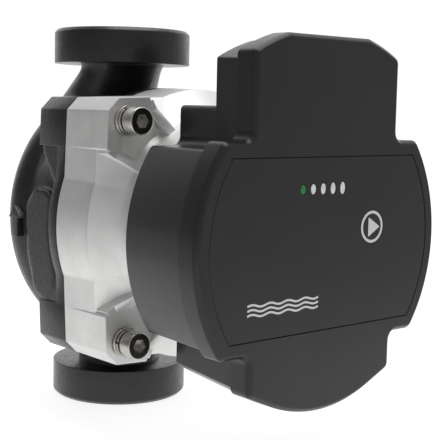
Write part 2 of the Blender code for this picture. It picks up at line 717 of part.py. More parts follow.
# --- can, bearings and plate ----------------------------------------------------------------------
def make_bearings(frame):
    bore = SHAFT_RADIUS + RUNNING
    front_end = ROTOR_ENDS[0] - THRUST_LENGTH - 2 * GAP
    rear_end = CAN_END - CAN_WALL - GAP
    make_object("front_bearing", ring(bore, BEARING_RADIUS, front_end - BEARING_LENGTH, front_end), frame, CARBON)
    make_object("rear_bearing", ring(bore, BEARING_RADIUS, rear_end - BEARING_LENGTH, rear_end), frame, CARBON)
    seat = BEARING_RADIUS + GAP
    sleeve = seat + PLATE_THICKNESS
    plate = turned(
        [
            (PLATE_DEPTH, seat),
            (PLATE_DEPTH, CHAMBER_RADIUS - GAP),
            (PLATE_DEPTH + PLATE_THICKNESS, CHAMBER_RADIUS - GAP),
            (PLATE_DEPTH + PLATE_THICKNESS, sleeve),
            (PLATE_DEPTH + BEARING_LENGTH, sleeve),
            (PLATE_DEPTH + BEARING_LENGTH, seat),
        ],
        INNER_ROUND,
    )
    make_object("bearing_plate", plate, frame, STAINLESS)


def make_can(frame):
    outside = CAN_BORE + CAN_WALL
    low = JOINT_FACE + 2 * GAP
    high = low + CAN_FLANGE_THICKNESS
    can = turned(
        [
            (CAN_END, 0.0),
            (CAN_END, outside),
            (high, outside),
            (high, CAN_FLANGE),
            (low, CAN_FLANGE),
            (low, CAN_BORE),
            (CAN_END - CAN_WALL, CAN_BORE),
            (CAN_END - CAN_WALL, 0.0),
        ],
        INNER_ROUND,
        closed=False,
    )
    make_object("rotor_can", can, frame, STAINLESS)
    seat = JOINT_FACE - GASKET_THICKNESS
    make_object("housing_gasket", ring(*GASKET_RADII, seat, JOINT_FACE, INNER_ROUND), frame, RUBBER)


# --- motor housing and stator ---------------------------------------------------------------------
def gusset_rib():
    """A rib that rises inward from a corner block to the round motor housing, along +X."""
    side = [
        (RIB_START + 3 * MM, JOINT_FACE + 6 * MM),
        (RIB_START + 3 * MM, BLOCK_FRONT - 0.2 * MM),
        (RIB_START, BLOCK_FRONT - 0.2 * MM),
        (MOTOR_RADIUS - 2 * MM, RIB_TOP),
        (MOTOR_RADIUS - 2 * MM, JOINT_FACE + 6 * MM),
    ]
    shape = prism(side, -RIB_WIDTH / 2, RIB_WIDTH / 2)
    shape.transform(Matrix.Rotation(math.radians(90), 4, "X"))
    return shape


def base_screw_places():
    return [(BASE_SCREW_CIRCLE * math.cos(math.radians(a)), BASE_SCREW_CIRCLE * math.sin(math.radians(a)))
            for a in (90, 210, 330)]


def make_stator_housing(frame):
    flange_back = JOINT_FACE + GAP
    stages = [at_depth(flange_outline(), flange_back), at_depth(flange_outline(-FLANGE_DRAFT), BULGE_FRONT)]
    for extra, depth in ((1.3 * MM, CONE_FOOT - 4 * MM), (-0.4 * MM, CONE_FOOT + MM)):
        radius = MOTOR_RADIUS + extra
        stages.append([(*(Vector(point).normalized() * radius), depth) for point in flange_outline()])
    body = make_object("stator_housing", skinned(stages), frame, ALUMINIUM)
    barrel = spun(rod(MOTOR_RADIUS, flange_back + 2 * MM, MOTOR_END, ROUND), math.radians(4))
    blocks = [spun(corner_block(flange_back + MM, BLOCK_FRONT), math.radians(90 * k)) for k in range(4)]
    ribs = []
    for k in range(4):
        for side in (-1, 1):
            ribs.append(spun(gusset_rib(), math.radians(45 + 90 * k) + side * RIB_ANGLE))
    boolean(body, "UNION", make_helper("join_motor_barrel", barrel, frame))
    boolean(body, "UNION", make_helper("join_motor_ribs", gathered(ribs), frame))
    boolean(body, "UNION", make_helper("join_motor_blocks", gathered(blocks), frame))
    recess = JOINT_FACE + 3 * GAP + CAN_FLANGE_THICKNESS
    cavity = turned(
        [
            (flange_back - MM, 0.0),
            (flange_back - MM, CAN_FLANGE + GAP),
            (recess, CAN_FLANGE + GAP),
            (recess, STATOR_RADIUS + GAP),
            (MOTOR_END - MOTOR_END_WALL, STATOR_RADIUS + GAP),
            (MOTOR_END - MOTOR_END_WALL, 0.0),
        ],
        ROUND,
        closed=False,
    )
    holes = [moved(rod(SCREW_RADIUS + BOLT_CLEARANCE, flange_back - MM, BLOCK_FRONT + MM, TINY_ROUND), *place)
             for place in corner_places()]
    holes += [moved(rod(BASE_SCREW[0] + BOLT_CLEARANCE, MOTOR_END - 3.5 * MM, MOTOR_END + MM, TINY_ROUND), *place)
              for place in base_screw_places()]
    lead_way = block((0.0, -LEAD_BLOCK_DROP), Vector(LEAD_BLOCK) + Vector((2 * GAP, 2 * GAP)),
                     MOTOR_END - MOTOR_END_WALL - MM, MOTOR_END + MM)
    boolean(body, "DIFFERENCE", make_helper("cut_motor_cavity", cavity, frame))
    boolean(body, "DIFFERENCE", make_helper("cut_motor_holes", gathered(holes + [lead_way]), frame))


def make_stator(frame):
    core = make_object("stator_core", rod(STATOR_RADIUS, *STATOR_ENDS, INNER_ROUND), frame, LAMINATION)
    outline = []
    for k in range(TOOTH_COUNT):
        middle = 2 * math.pi * k / TOOTH_COUNT
        tooth = math.asin(TOOTH_WIDTH / 2 / STATOR_BORE)
        root = math.asin(TOOTH_WIDTH / 2 / YOKE_BORE)
        following = middle + 2 * math.pi / TOOTH_COUNT
        outline += arc(STATOR_BORE, middle - tooth, middle + tooth, 3)
        outline += arc(YOKE_BORE, middle + root, following - root, 5)
    shape = prism(outline, STATOR_ENDS[0] - MM, STATOR_ENDS[1] + MM)
    boolean(core, "DIFFERENCE", make_helper("cut_stator_slots", shape, frame))
    for k in range(TOOTH_COUNT):
        inner_x = TOOTH_WIDTH / 2 + GAP
        inner_z = (STATOR_ENDS[1] - STATOR_ENDS[0]) / 2 + GAP
        outer = rounded([(sx * (inner_x + COIL_SIDE), sy * (inner_z + COIL_SIDE), COIL_SIDE)
                         for sx, sy in ((1, 1), (-1, 1), (-1, -1), (1, -1))])
        inner = rounded([(sx * inner_x, sy * inner_z, 0.2 * MM)
                         for sx, sy in ((1, 1), (-1, 1), (-1, -1), (1, -1))])
        coil = framed(outer, inner, *COIL_RADII)
        coil.transform(Matrix.Rotation(math.radians(90), 4, "Z") @ Matrix.Rotation(math.radians(90), 4, "X"))
        moved(coil, 0.0, 0.0, sum(STATOR_ENDS) / 2)
        make_object(f"stator_coil_{k + 1}", spun(coil, 2 * math.pi * k / TOOTH_COUNT), frame, COPPER)
    lead = block((0.0, -LEAD_BLOCK_DROP), LEAD_BLOCK, MOTOR_END - MOTOR_END_WALL + GAP, BOARD_BACK - GAP)
    make_object("lead_connector", lead, frame, DARK_PART)


def make_housing_screws(frame):
    washer_radius, washer = FLAT_WASHER
    spring_radius, spring = SPRING_WASHER
    washer_low = BLOCK_FRONT + GAP
    spring_low = washer_low + washer + GAP
    head_low = spring_low + spring + GAP
    head_high = head_low + SCREW_HEAD
    hole = SCREW_RADIUS + BOLT_CLEARANCE
    for k, place in enumerate(corner_places(), 1):
        screw = turned(
            [
                (SCREW_END, 0.0),
                (SCREW_END, SCREW_RADIUS),
                (head_low, SCREW_RADIUS),
                (head_low, SCREW_HEAD_RADIUS),
                (head_high - 0.3 * MM, SCREW_HEAD_RADIUS),
                (head_high, SCREW_HEAD_RADIUS - 0.3 * MM),
                (head_high, 0.0),
            ],
            SMALL_ROUND,
            closed=False,
        )
        obj = make_object(f"housing_screw_{k}", moved(screw, *place), frame, STEEL)
        socket = prism(hexagon(SCREW_HEX), head_high - SCREW_HEX_DEPTH, head_high + MM)
        boolean(obj, "DIFFERENCE", make_helper(f"cut_hex_{k}", moved(socket, *place), frame))
        flat = moved(ring(hole, washer_radius, washer_low, washer_low + washer), *place)
        make_object(f"flat_washer_{k}", flat, frame, STEEL)
        sprung = moved(ring(hole, spring_radius, spring_low, spring_low + spring), *place)
        make_object(f"spring_washer_{k}", sprung, frame, STEEL)


# --- control box ----------------------------------------------------------------------------------
def socket_outline(socket, grow=0.0):
    x, width, height = socket
    half_x, half_y = width / 2 + grow, height / 2 + grow
    radius = max(1.5 * MM + grow, 0.3 * MM)
    return rounded([(x + sx * half_x, SOCKET_HEIGHT + sy * half_y, radius)
                    for sx, sy in ((1, 1), (-1, 1), (-1, -1), (1, -1))])


def make_box_base(frame):
    seam = BOX_SEAM - GAP / 2
    outside = skinned([at_depth(base_section(0.0), BOX_BACK), at_depth(base_section(1.0), seam)])
    base = make_object("box_base", outside, frame, BOX_PLASTIC)
    tall = skinned([at_depth(tall_section(TALL_BACK), TALL_BACK), at_depth(tall_section(seam), seam)])
    boolean(base, "UNION", make_helper("join_tall_part", tall, frame))
    inside_back = BOX_BACK + BOX_WALL
    back_share = BOX_WALL / (BOX_SEAM - BOX_BACK)
    inside = skinned([at_depth(base_section(back_share, -BOX_WALL), inside_back),
                      at_depth(base_section(1.0, -BOX_WALL), seam + MM)])
    tall_inside = skinned([at_depth(tall_section(TALL_BACK + BOX_WALL, -BOX_WALL), TALL_BACK + BOX_WALL),
                           at_depth(tall_section(seam, -BOX_WALL), seam + MM)])
    boolean(base, "DIFFERENCE", make_helper("cut_base_inside", inside, frame))
    boolean(base, "DIFFERENCE", make_helper("cut_tall_inside", tall_inside, frame))
    reach, radius = BOARD_POST
    posts = [moved(rod(radius, inside_back - MM, BOARD_BACK - GAP), side * reach, 0.0) for side in (-1, 1)]
    boolean(base, "UNION", make_helper("join_board_posts", gathered(posts), frame))
    holes = [moved(rod(BASE_SCREW[0] + BOLT_CLEARANCE, BOX_BACK - MM, inside_back + MM, TINY_ROUND), *place)
             for place in base_screw_places()]
    holes += [moved(rod(BOARD_SCREW[0] + GAP, BOARD_BACK - 7 * MM, BOARD_BACK + MM, TINY_ROUND), side * reach, 0.0)
              for side in (-1, 1)]
    holes.append(block((0.0, -LEAD_BLOCK_DROP), Vector(LEAD_BLOCK) + Vector((2 * GAP, 2 * GAP)),
                       BOX_BACK - MM, inside_back + MM))
    holes += [prism(socket_outline(socket, GAP), TALL_BACK - MM, TALL_BACK + BOX_WALL + MM)
              for socket in (MAINS_SOCKET, SIGNAL_SOCKET)]
    boolean(base, "DIFFERENCE", make_helper("cut_base_holes", gathered(holes), frame))
    screw_radius, head_radius, head = BASE_SCREW
    for k, place in enumerate(base_screw_places(), 1):
        low = inside_back + GAP
        screw = turned([(MOTOR_END - 3 * MM, 0.0), (MOTOR_END - 3 * MM, screw_radius), (low, screw_radius),
                        (low, head_radius), (low + head, head_radius - 0.5 * MM), (low + head, 0.0)],
                       TINY_ROUND, closed=False)
        make_object(f"base_screw_{k}", moved(screw, *place), frame, STEEL)


def button_hole(low, high):
    return moved(rod(BUTTON_RADIUS + SLOT_GAP, low, high), *BUTTON_PLACE)


def make_box_cover(frame):
    seam = BOX_SEAM + GAP / 2
    outside = skinned([at_depth(cover_section(), seam), at_depth(cover_section(), BOX_BEVEL),
                       at_depth(cover_section(-BOX_BEVEL_WIDTH), BOX_FRONT)])
    cover = make_object("box_cover", outside, frame, BOX_PLASTIC)
    inside_front = BOX_FRONT - FACE_WALL
    inside = prism(cover_section(-BOX_WALL), seam - MM, inside_front)
    recess_floor = BOX_FRONT - PANEL_THICKNESS - GAP
    recess = prism(panel_outline(SLOT_GAP), recess_floor, BOX_FRONT + MM)
    holes = [light_shape(k, SLOT_GAP, inside_front - MM, recess_floor + MM) for k in range(LIGHT_COUNT)]
    holes.append(button_hole(inside_front - MM, recess_floor + MM))
    boolean(cover, "DIFFERENCE", make_helper("cut_cover_inside", inside, frame))
    boolean(cover, "DIFFERENCE", make_helper("cut_panel_recess", recess, frame))
    boolean(cover, "DIFFERENCE", make_helper("cut_cover_holes", gathered(holes), frame))

    panel_back = BOX_FRONT - PANEL_THICKNESS
    panel = make_object("front_panel", prism(panel_outline(), panel_back, BOX_FRONT), frame, BOX_PLASTIC)
    openings = [light_shape(k, SLOT_GAP, panel_back - MM, BOX_FRONT + MM) for k in range(LIGHT_COUNT)]
    openings.append(button_hole(panel_back - MM, BOX_FRONT + MM))
    boolean(panel, "DIFFERENCE", make_helper("cut_panel_holes", gathered(openings), frame))
    for k in range(LIGHT_COUNT):
        guide = light_shape(k, 0.0, BOX_FRONT - LIGHT_LENGTH, BOX_FRONT)
        make_object(f"light_guide_{k + 1}", guide, frame, GREEN_LIGHT if k == 0 else PALE_MARK)

    outer = base_seal_line(-BOX_WALL - GAP)
    inner = base_seal_line(-BOX_WALL - GAP - SEAL_WIDTH)
    seal = framed(outer, inner, BOX_SEAM - SEAL_HALF_HEIGHT, BOX_SEAM + SEAL_HALF_HEIGHT)
    make_object("box_gasket", seal, frame, RUBBER)


def base_seal_line(grow):
    """The line of the wall at the seam, all the way round the box and its tall part."""
    return box_outline(SEAM_RADIUS, BASE_FLAT, BASE_NECK_SEAM, BASE_TOP, BASE_CORNER, BASE_TOP_RADIUS,
                       grow=grow)


def make_button(frame):
    """The button's empty stands on its line of travel, and its origin is on that line."""
    hole = BUTTON_RADIUS + SLOT_GAP
    collar_high = BOX_FRONT - FACE_WALL - GAP
    collar_low = collar_high - 1.0 * MM
    board_front = BOARD_BACK + BOARD_THICKNESS
    switch_low = board_front + GAP
    switch_high = switch_low + SWITCH_SIZE[1]
    plunger_high = switch_high + 0.7 * MM
    stem_end = plunger_high + GAP
    cap = turned(
        [
            (stem_end, 0.0),
            (stem_end, BUTTON_STEM),
            (collar_low, BUTTON_STEM),
            (collar_low, hole + BUTTON_COLLAR),
            (collar_high, hole + BUTTON_COLLAR),
            (collar_high, BUTTON_RADIUS - 0.6 * MM),
            (BOX_FRONT - BUTTON_CAP, BUTTON_RADIUS - 0.6 * MM),
            (BOX_FRONT - BUTTON_CAP, BUTTON_RADIUS),
            (BOX_FRONT, BUTTON_RADIUS),
            (BOX_FRONT, 0.0),
        ],
        INNER_ROUND,
        closed=False,
    )
    axis = make_empty("button_axis", (*BUTTON_PLACE, 0.0), parent=frame)
    make_object("button", cap, axis, PALE_MARK)
    plunger_low = plunger_high - 2.6 * MM
    make_object("switch_plunger", rod(PLUNGER_RADIUS, plunger_low, plunger_high, TINY_ROUND), axis, DARK_PART)
    size = SWITCH_SIZE[0]
    switch = make_object("switch_body", block(BUTTON_PLACE, (size, size), switch_low, switch_high), frame, DARK_PART)
    well = moved(rod(PLUNGER_RADIUS + GAP, plunger_low - BUTTON_TRAVEL - GAP, switch_high + MM, TINY_ROUND),
                 *BUTTON_PLACE)
    boolean(switch, "DIFFERENCE", make_helper("cut_switch_well", well, frame))


# --- electronics ----------------------------------------------------------------------------------
def make_board(frame):
    share = (BOARD_BACK - BOX_BACK) / (BOX_SEAM - BOX_BACK)
    radius = BACK_RADIUS + (SEAM_RADIUS - BACK_RADIUS) * share - BOX_WALL - MM
    flat = BASE_FLAT - BOX_WALL - MM
    neck = BASE_NECK_BACK - BOX_WALL - MM
    top = 51.0 * MM
    reach = math.asin(flat / radius)
    right = arc(radius, -reach, reach) + [(neck, flat), (neck, top)]
    outline = right + [(-x, y) for x, y in reversed(right)]
    front = BOARD_BACK + BOARD_THICKNESS
    board = make_object("control_board", prism(outline, BOARD_BACK, front), frame, BOARD)
    post = BOARD_POST[0]
    holes = [moved(rod(BOARD_SCREW[0] + GAP, BOARD_BACK - MM, front + MM, TINY_ROUND), side * post, 0.0)
             for side in (-1, 1)]
    boolean(board, "DIFFERENCE", make_helper("cut_board_holes", gathered(holes), frame))
    shank, head_radius, head = BOARD_SCREW
    low = front + GAP
    for k, side in enumerate((-1, 1), 1):
        screw = turned([(BOARD_BACK - 6 * MM, 0.0), (BOARD_BACK - 6 * MM, shank), (low, shank), (low, head_radius),
                        (low + head, head_radius - 0.4 * MM), (low + head, 0.0)], TINY_ROUND, closed=False)
        make_object(f"board_screw_{k}", moved(screw, side * post, 0.0), frame, STEEL)

    foot = BOARD_BACK - GAP
    capacitor = moved(rod(7.0 * MM, foot - 13 * MM, foot), -22 * MM, -4 * MM)
    make_object("bulk_capacitor", capacitor, frame, DARK_PART)
    choke = moved(ring(4.0 * MM, 8.0 * MM, foot - 8 * MM, foot), 22 * MM, -6 * MM)
    make_object("filter_choke", choke, frame, COPPER)
    module = block((14 * MM, 12 * MM), (20 * MM, 13 * MM), foot - 4 * MM, foot)
    make_object("power_module", module, frame, DARK_PART)


def make_socket(name, socket, frame):
    back = BOARD_BACK - GAP
    obj = make_object(name, prism(socket_outline(socket), SOCKET_MOUTH, back), frame, DARK_PART)
    cavity = prism(socket_outline(socket, -SOCKET_WALL), SOCKET_MOUTH - MM, back - SOCKET_FLOOR)
    boolean(obj, "DIFFERENCE", make_helper("cut_" + name, cavity, frame))


def make_sockets(frame):
    make_socket("mains_socket", MAINS_SOCKET, frame)
    make_socket("signal_socket", SIGNAL_SOCKET, frame)
    floor = BOARD_BACK - GAP - SOCKET_FLOOR - GAP
    thickness, height, length = MAINS_PIN
    for k in range(3):
        x = MAINS_SOCKET[0] + MAINS_PIN_PITCH * (k - 1)
        pin = block((x, SOCKET_HEIGHT), (2 * thickness, 2 * height), floor - length, floor)
        make_object(f"mains_pin_{k + 1}", pin, frame, STAINLESS)
    plug = skinned([
        at_depth(socket_outline(SIGNAL_SOCKET), SOCKET_MOUTH - GAP - PLUG_HEAD),
        at_depth(socket_outline(SIGNAL_SOCKET), SOCKET_MOUTH - GAP),
        at_depth(socket_outline(SIGNAL_SOCKET, -SOCKET_WALL - GAP), SOCKET_MOUTH - GAP + 0.01 * MM),
        at_depth(socket_outline(SIGNAL_SOCKET, -SOCKET_WALL - GAP), floor - 2 * MM),
    ])
    make_object("blanking_plug", plug, frame, RUBBER)


def build():
    clear_scene()
    motor = make_empty("motor_axis", (0.0, 0.0, PORT_TO_PORT / 2), (math.radians(90), 0.0, 0.0))
    spin = make_empty("rotor_axis", parent=motor)
    make_pump_housing(motor)
    make_wear_ring(motor)
    make_rotor_group(spin)
    make_bearings(motor)
    make_can(motor)
    make_stator_housing(motor)
    make_stator(motor)
    make_housing_screws(motor)
    make_box_base(motor)
    make_box_cover(motor)
    make_button(motor)
    make_board(motor)
    make_sockets(motor)


build()
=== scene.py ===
"""A wet-rotor circulator pump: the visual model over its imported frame.

The pieces are drawn in millimetres in the motor frame: x to the right, y up from the motor axis and
z forward from the pipe axis, which is called depth. MOTOR_FRAME carries them into the world.
"""

import math

import bmesh
import bpy
import numpy as np
from mathutils import Matrix, Vector


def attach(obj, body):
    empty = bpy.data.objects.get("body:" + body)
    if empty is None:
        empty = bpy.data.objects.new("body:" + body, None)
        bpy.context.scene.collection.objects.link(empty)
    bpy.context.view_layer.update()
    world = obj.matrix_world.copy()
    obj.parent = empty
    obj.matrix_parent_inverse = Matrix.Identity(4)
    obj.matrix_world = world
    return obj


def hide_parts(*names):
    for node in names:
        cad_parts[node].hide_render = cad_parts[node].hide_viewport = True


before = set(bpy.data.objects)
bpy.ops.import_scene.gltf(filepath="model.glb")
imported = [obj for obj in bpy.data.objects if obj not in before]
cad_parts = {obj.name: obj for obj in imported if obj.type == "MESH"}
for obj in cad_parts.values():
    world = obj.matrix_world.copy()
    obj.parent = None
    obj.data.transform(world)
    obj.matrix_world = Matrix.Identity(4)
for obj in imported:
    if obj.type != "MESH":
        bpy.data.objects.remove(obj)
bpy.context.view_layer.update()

MM = 0.001
PORT_HALF = 65.0
MOTOR_FRAME = (
    Matrix.Translation((0.0, 0.0, PORT_HALF * MM))
    @ Matrix.Rotation(math.radians(90), 4, "X")
    @ Matrix.Diagonal((MM, MM, MM, 1.0))
)

# --- sizes shared by several pieces, in mm --------------------------------------------------------
FLANGE_HALF = 41.0
FLANGE_CREASE = 41.85  # where the straight side turns into the bulge
FLANGE_BULGE = 44.75
FLANGE_CHAMFER = 4.0
BLOCK_START = 25.3  # how far from the axis a corner block's side begins
SCREW_OFFSET = 34.1
SCREW_PLACES = [(SCREW_OFFSET * x, SCREW_OFFSET * y) for x, y in ((1, 1), (-1, 1), (-1, -1), (1, -1))]
JOINT = 27.5  # depth of the casting's face towards the motor
MOTOR_RADIUS = 36.5
SEAM = 94.8  # depth of the joint between back shell and front shell
FRONT = 102.6
PRINT = 0.05  # how far the print stands on the panel
BASE_BACK = 67.9
BOX_WALL = 2.2
BUTTON_PLACE = (19.2, 3.9)
WINDOWS = 5
SOCKET_HEIGHT = 47.8
SOCKETS = {"mains_socket": (-10.6, 23.0, 13.0), "signal_socket": (13.5, 15.0, 10.0)}  # centre, width, height


# --- shapes ---------------------------------------------------------------------------------------
def skinned(sections, open_ends=False):
    """A closed skin through sections with the same number of points."""
    shape = bmesh.new()
    rows = [[shape.verts.new(point) for point in section] for section in sections]
    count = len(rows[0])
    for row, following in zip(rows, rows[1:]):
        for i in range(count):
            j = (i + 1) % count
            shape.faces.new((row[i], row[j], following[j], following[i]))
    if not open_ends:
        shape.faces.new(rows[0])
        shape.faces.new(rows[-1])
    return shape


def looped(sections):
    """A skin through sections whose last one joins the first, such as a ring's."""
    return skinned(list(sections) + [sections[0]], open_ends=True)


def at_depth(outline, depth):
    return [(x, y, depth) for x, y in outline]


def prism(outline, low, high):
    return skinned([at_depth(outline, low), at_depth(outline, high)])


def circle(radius, count=96, start=0.0):
    angles = [start + 2 * math.pi * k / count for k in range(count)]
    return [(radius * math.cos(a), radius * math.sin(a)) for a in angles]


def turned(profile, count=96):
    """A closed (depth, radius) profile turned about the motor axis; on the axis it may close itself."""
    shape = looped([at_depth(circle(max(radius, 0.0), count), depth) for depth, radius in profile])
    bmesh.ops.remove_doubles(shape, verts=shape.verts, dist=1e-4)
    return shape


def rod(radius, low, high, count=48):
    return prism(circle(radius, count), low, high)


def softened(profile, radius, steps=3):
    """Rounds each corner of a closed (depth, radius) profile that lies off the axis."""
    out = []
    for i, (a, b) in enumerate(profile):
        here = Vector((a, b))
        before = Vector(profile[i - 1]) - here
        after = Vector(profile[(i + 1) % len(profile)]) - here
        if b < 0.01 or before.length < 1e-6 or after.length < 1e-6:
            out.append((a, b))
            continue
        reach = min(radius, 0.4 * before.length, 0.4 * after.length)
        start, end = here + before.normalized() * reach, here + after.normalized() * reach
        for k in range(steps + 1):
            t = k / steps
            point = (1 - t) ** 2 * start + 2 * t * (1 - t) * here + t * t * end
            out.append((point.x, point.y))
    return out


def rounded(corners, steps=6):
    """The outline through (x, y, radius) corners."""
    outline = []
    for i, (x, y, radius) in enumerate(corners):
        here = Vector((x, y))
        if radius <= 0:
            outline.append((x, y))
            continue
        before = Vector(corners[i - 1][:2]) - here
        after = Vector(corners[(i + 1) % len(corners)][:2]) - here
        half = before.angle(after) / 2
        reach = min(radius / math.tan(half), 0.45 * before.length, 0.45 * after.length)
        radius = reach * math.tan(half)
        before.normalize()
        after.normalize()
        centre = here + (before + after).normalized() * radius / math.sin(half)
        start = here + before * reach - centre
        turn = start.angle_signed(here + after * reach - centre)
        for k in range(steps + 1):
            point = centre + Matrix.Rotation(-turn * k / steps, 2) @ start
            outline.append((point.x, point.y))
    return outline


def arc(radius, start, end, steps=40):
    angles = [start + (end - start) * k / steps for k in range(steps + 1)]
    return [(radius * math.cos(a), radius * math.sin(a)) for a in angles]


def shifted(shape, x=0.0, y=0.0, depth=0.0):
    shape.transform(Matrix.Translation((x, y, depth)))
    return shape


def swung(shape, angle, axis="Z"):
    shape.transform(Matrix.Rotation(angle, 4, axis))
    return shape


def gathered(*shapes):
    whole = bmesh.new()
    for shape in shapes:
        mesh = bpy.data.meshes.new("gathered")
        shape.to_mesh(mesh)
        shape.free()
        whole.from_mesh(mesh)
        bpy.data.meshes.remove(mesh)
    return whole


# --- objects --------------------------------------------------------------------------------------
def loose_object(name, shape):
    bmesh.ops.recalc_face_normals(shape, faces=shape.faces)
    mesh = bpy.data.meshes.new(name)
    shape.to_mesh(mesh)
    shape.free()
    obj = bpy.data.objects.new(name, mesh)
    bpy.context.scene.collection.objects.link(obj)
    return obj


def settled(obj):
    """Applies the object's modifiers and returns its shape; the object itself goes."""
    bpy.context.view_layer.update()
    evaluated = obj.evaluated_get(bpy.context.evaluated_depsgraph_get())
    mesh = bpy.data.meshes.new_from_object(evaluated)
    shape = bmesh.new()
    shape.from_mesh(mesh)
    bpy.data.meshes.remove(mesh)
    bpy.data.objects.remove(obj, do_unlink=True)
    return shape


def eased(shape, width, angle=25):
    """Takes the sharpness off a shape's own edges before it is joined to others."""
    bmesh.ops.recalc_face_normals(shape, faces=shape.faces)
    edges = [edge for edge in shape.edges if edge.calc_face_angle(0.0) > math.radians(angle)]
    bmesh.ops.bevel(
        shape, geom=edges, offset=width, segments=2, profile=0.5, affect="EDGES", clamp_overlap=True
    )
    return shape


def combined(shape, operation, *others):
    """One shape cut by, or joined with, others."""
    obj = loose_object("combined", shape)
    helpers = [loose_object("helper", other) for other in others]
    for helper in helpers:
        step = obj.modifiers.new("step", "BOOLEAN")
        step.operation = operation
        step.solver = "EXACT"
        step.object = helper
    result = settled(obj)
    for helper in helpers:
        bpy.data.objects.remove(helper, do_unlink=True)
    return result


def fused(shape, voxel):
    """Overlapping shapes melted into one skin, as a casting is."""
    obj = loose_object("fused", shape)
    step = obj.modifiers.new("fuse", "REMESH")
    step.mode = "VOXEL"
    step.voxel_size = voxel
    return settled(obj)


def relaxed(shape, rounds, share):
    """Rounds a skin's creases: share gives each point's freedom to move, from its place."""
    count = len(shape.verts)
    shape.verts.index_update()
    places = np.array([v.co[:] for v in shape.verts])
    ends = np.array([(e.verts[0].index, e.verts[1].index) for e in shape.edges])
    freedom = share(places)[:, None] * 0.5
    links = np.bincount(ends.ravel(), minlength=count)[:, None]
    for _ in range(rounds):
        total = np.empty_like(places)
        for axis in range(3):
            total[:, axis] = np.bincount(ends[:, 0], places[ends[:, 1], axis], count)
            total[:, axis] += np.bincount(ends[:, 1], places[ends[:, 0], axis], count)
        places += freedom * (total / np.maximum(links, 1) - places)
    for vert, place in zip(shape.verts, places):
        vert.co = place
    return shape


def piece(name, shape, body, nodes, look, slot, angle=35, bevel=0.0, weighted=True, extra=()):
    """Places a finished shape in the world as a piece that stands for CAD nodes."""
    shape.transform(MOTOR_FRAME)
    obj = loose_object(name, shape)
    obj.data.shade_smooth()
    for material in (look, *extra):
        obj.data.materials.append(material)
    if bevel:
        step = obj.modifiers.new("soft_edges", "BEVEL")
        step.width = bevel * MM
        step.segments = 2
        step.limit_method = "ANGLE"
        step.angle_limit = math.radians(angle)
        step.harden_normals = True
    else:
        obj.data.set_sharp_from_angle(angle=math.radians(angle))
    if weighted and not bevel:
        step = obj.modifiers.new("flat_faces", "WEIGHTED_NORMAL")
        step.keep_sharp = True
    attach(obj, body)
    if nodes:
        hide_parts(*nodes)
    return obj


# --- materials ------------------------------------------------------------------------------------
def linear(code):
    """A screen colour such as "#404040" as the linear values that shaders work in."""
    values = [int(code[i : i + 2], 16) / 255 for i in (1, 3, 5)]
    return tuple(v / 12.92 if v <= 0.04045 else ((v + 0.055) / 1.055) ** 2.4 for v in values) + (1.0,)


def add(tree, kind, links=None, **settings):
    """One shader node; settings name its sockets or its own properties, links name sockets fed by others."""
    node = tree.nodes.new(kind)
    for key, value in settings.items():
        if hasattr(node, key):
            setattr(node, key, value)
        else:
            node.inputs[key.replace("_", " ")].default_value = value
    for key, source in (links or {}).items():
        tree.links.new(source, node.inputs[key])
    return node


def grain(tree, size, detail=3.0, roughness=0.55):
    """Noise whose lumps are about size mm across."""
    place = add(tree, "ShaderNodeTexCoord").outputs["Object"]
    scale = 1.0 / (size * MM)
    noise = add(
        tree, "ShaderNodeTexNoise", {"Vector": place}, Scale=scale, Detail=detail, Roughness=roughness
    )
    return noise.outputs["Fac"]


def spread(tree, source, low, high):
    """Maps noise, which mostly runs from 0.3 to 0.7, onto low to high."""
    node = add(
        tree, "ShaderNodeMapRange", {"Value": source}, From_Min=0.3, From_Max=0.7, To_Min=low, To_Max=high
    )
    return node.outputs["Result"]


def bumps(tree, height, depth, under=None):
    links = {"Height": height}
    if under is not None:
        links["Normal"] = under
    return add(tree, "ShaderNodeBump", links, Strength=1.0, Distance=depth * MM).outputs["Normal"]


def tones(tree, source, low, high):
    ramp = add(tree, "ShaderNodeValToRGB", {"Fac": source})
    ramp.color_ramp.elements[0].position = 0.3
    ramp.color_ramp.elements[0].color = linear(low)
    ramp.color_ramp.elements[1].position = 0.7
    ramp.color_ramp.elements[1].color = linear(high)
    return ramp.outputs["Color"]


def surface(name, colours, colour_size, roughness, rough_size, lumps=(), **settings):
    """A material whose colour and roughness drift over the surface and whose skin has lumps.

    colours: darkest and lightest tone; roughness: its range; lumps: (size, depth) pairs in mm.
    """
    material = bpy.data.materials.new(name)
    material.use_nodes = True
    tree = material.node_tree
    shader = tree.nodes["Principled BSDF"]
    tree.links.new(tones(tree, grain(tree, colour_size), *colours), shader.inputs["Base Color"])
    tree.links.new(spread(tree, grain(tree, rough_size), *roughness), shader.inputs["Roughness"])
    normal = None
    for size, depth in lumps:
        normal = bumps(tree, grain(tree, size), depth, normal)
    if normal is not None:
        tree.links.new(normal, shader.inputs["Normal"])
    for key, value in settings.items():
        shader.inputs[key.replace("_", " ")].default_value = value
    material.diffuse_color = linear(colours[1])
    return material


# Dip-painted iron: black with a half gloss, over the lumps and pits of the sand mould.
cast_iron = surface(
    "black_dipped_iron", ("#131313", "#1C1C1C"), 6.0, (0.30, 0.42), 2.5, [(2.8, 0.12), (0.9, 0.16)],
    Specular_IOR_Level=0.4, Coat_Weight=0.3, Coat_Roughness=0.2,
)
# Bare die-cast aluminium after blasting: pale, even and matt with a fine sparkle.
cast_aluminium = surface(
    "blasted_aluminium", ("#DCDCDB", "#E8E8E7"), 9.0, (0.46, 0.56), 0.8, [(0.35, 0.012)], Metallic=1.0
)
# Bright zinc plating, slightly warm, with soft handling marks.
screw_steel = surface("plated_screw_steel", ("#B7B4AE", "#C9C6C0"), 4.0, (0.24, 0.32), 2.0, Metallic=1.0)
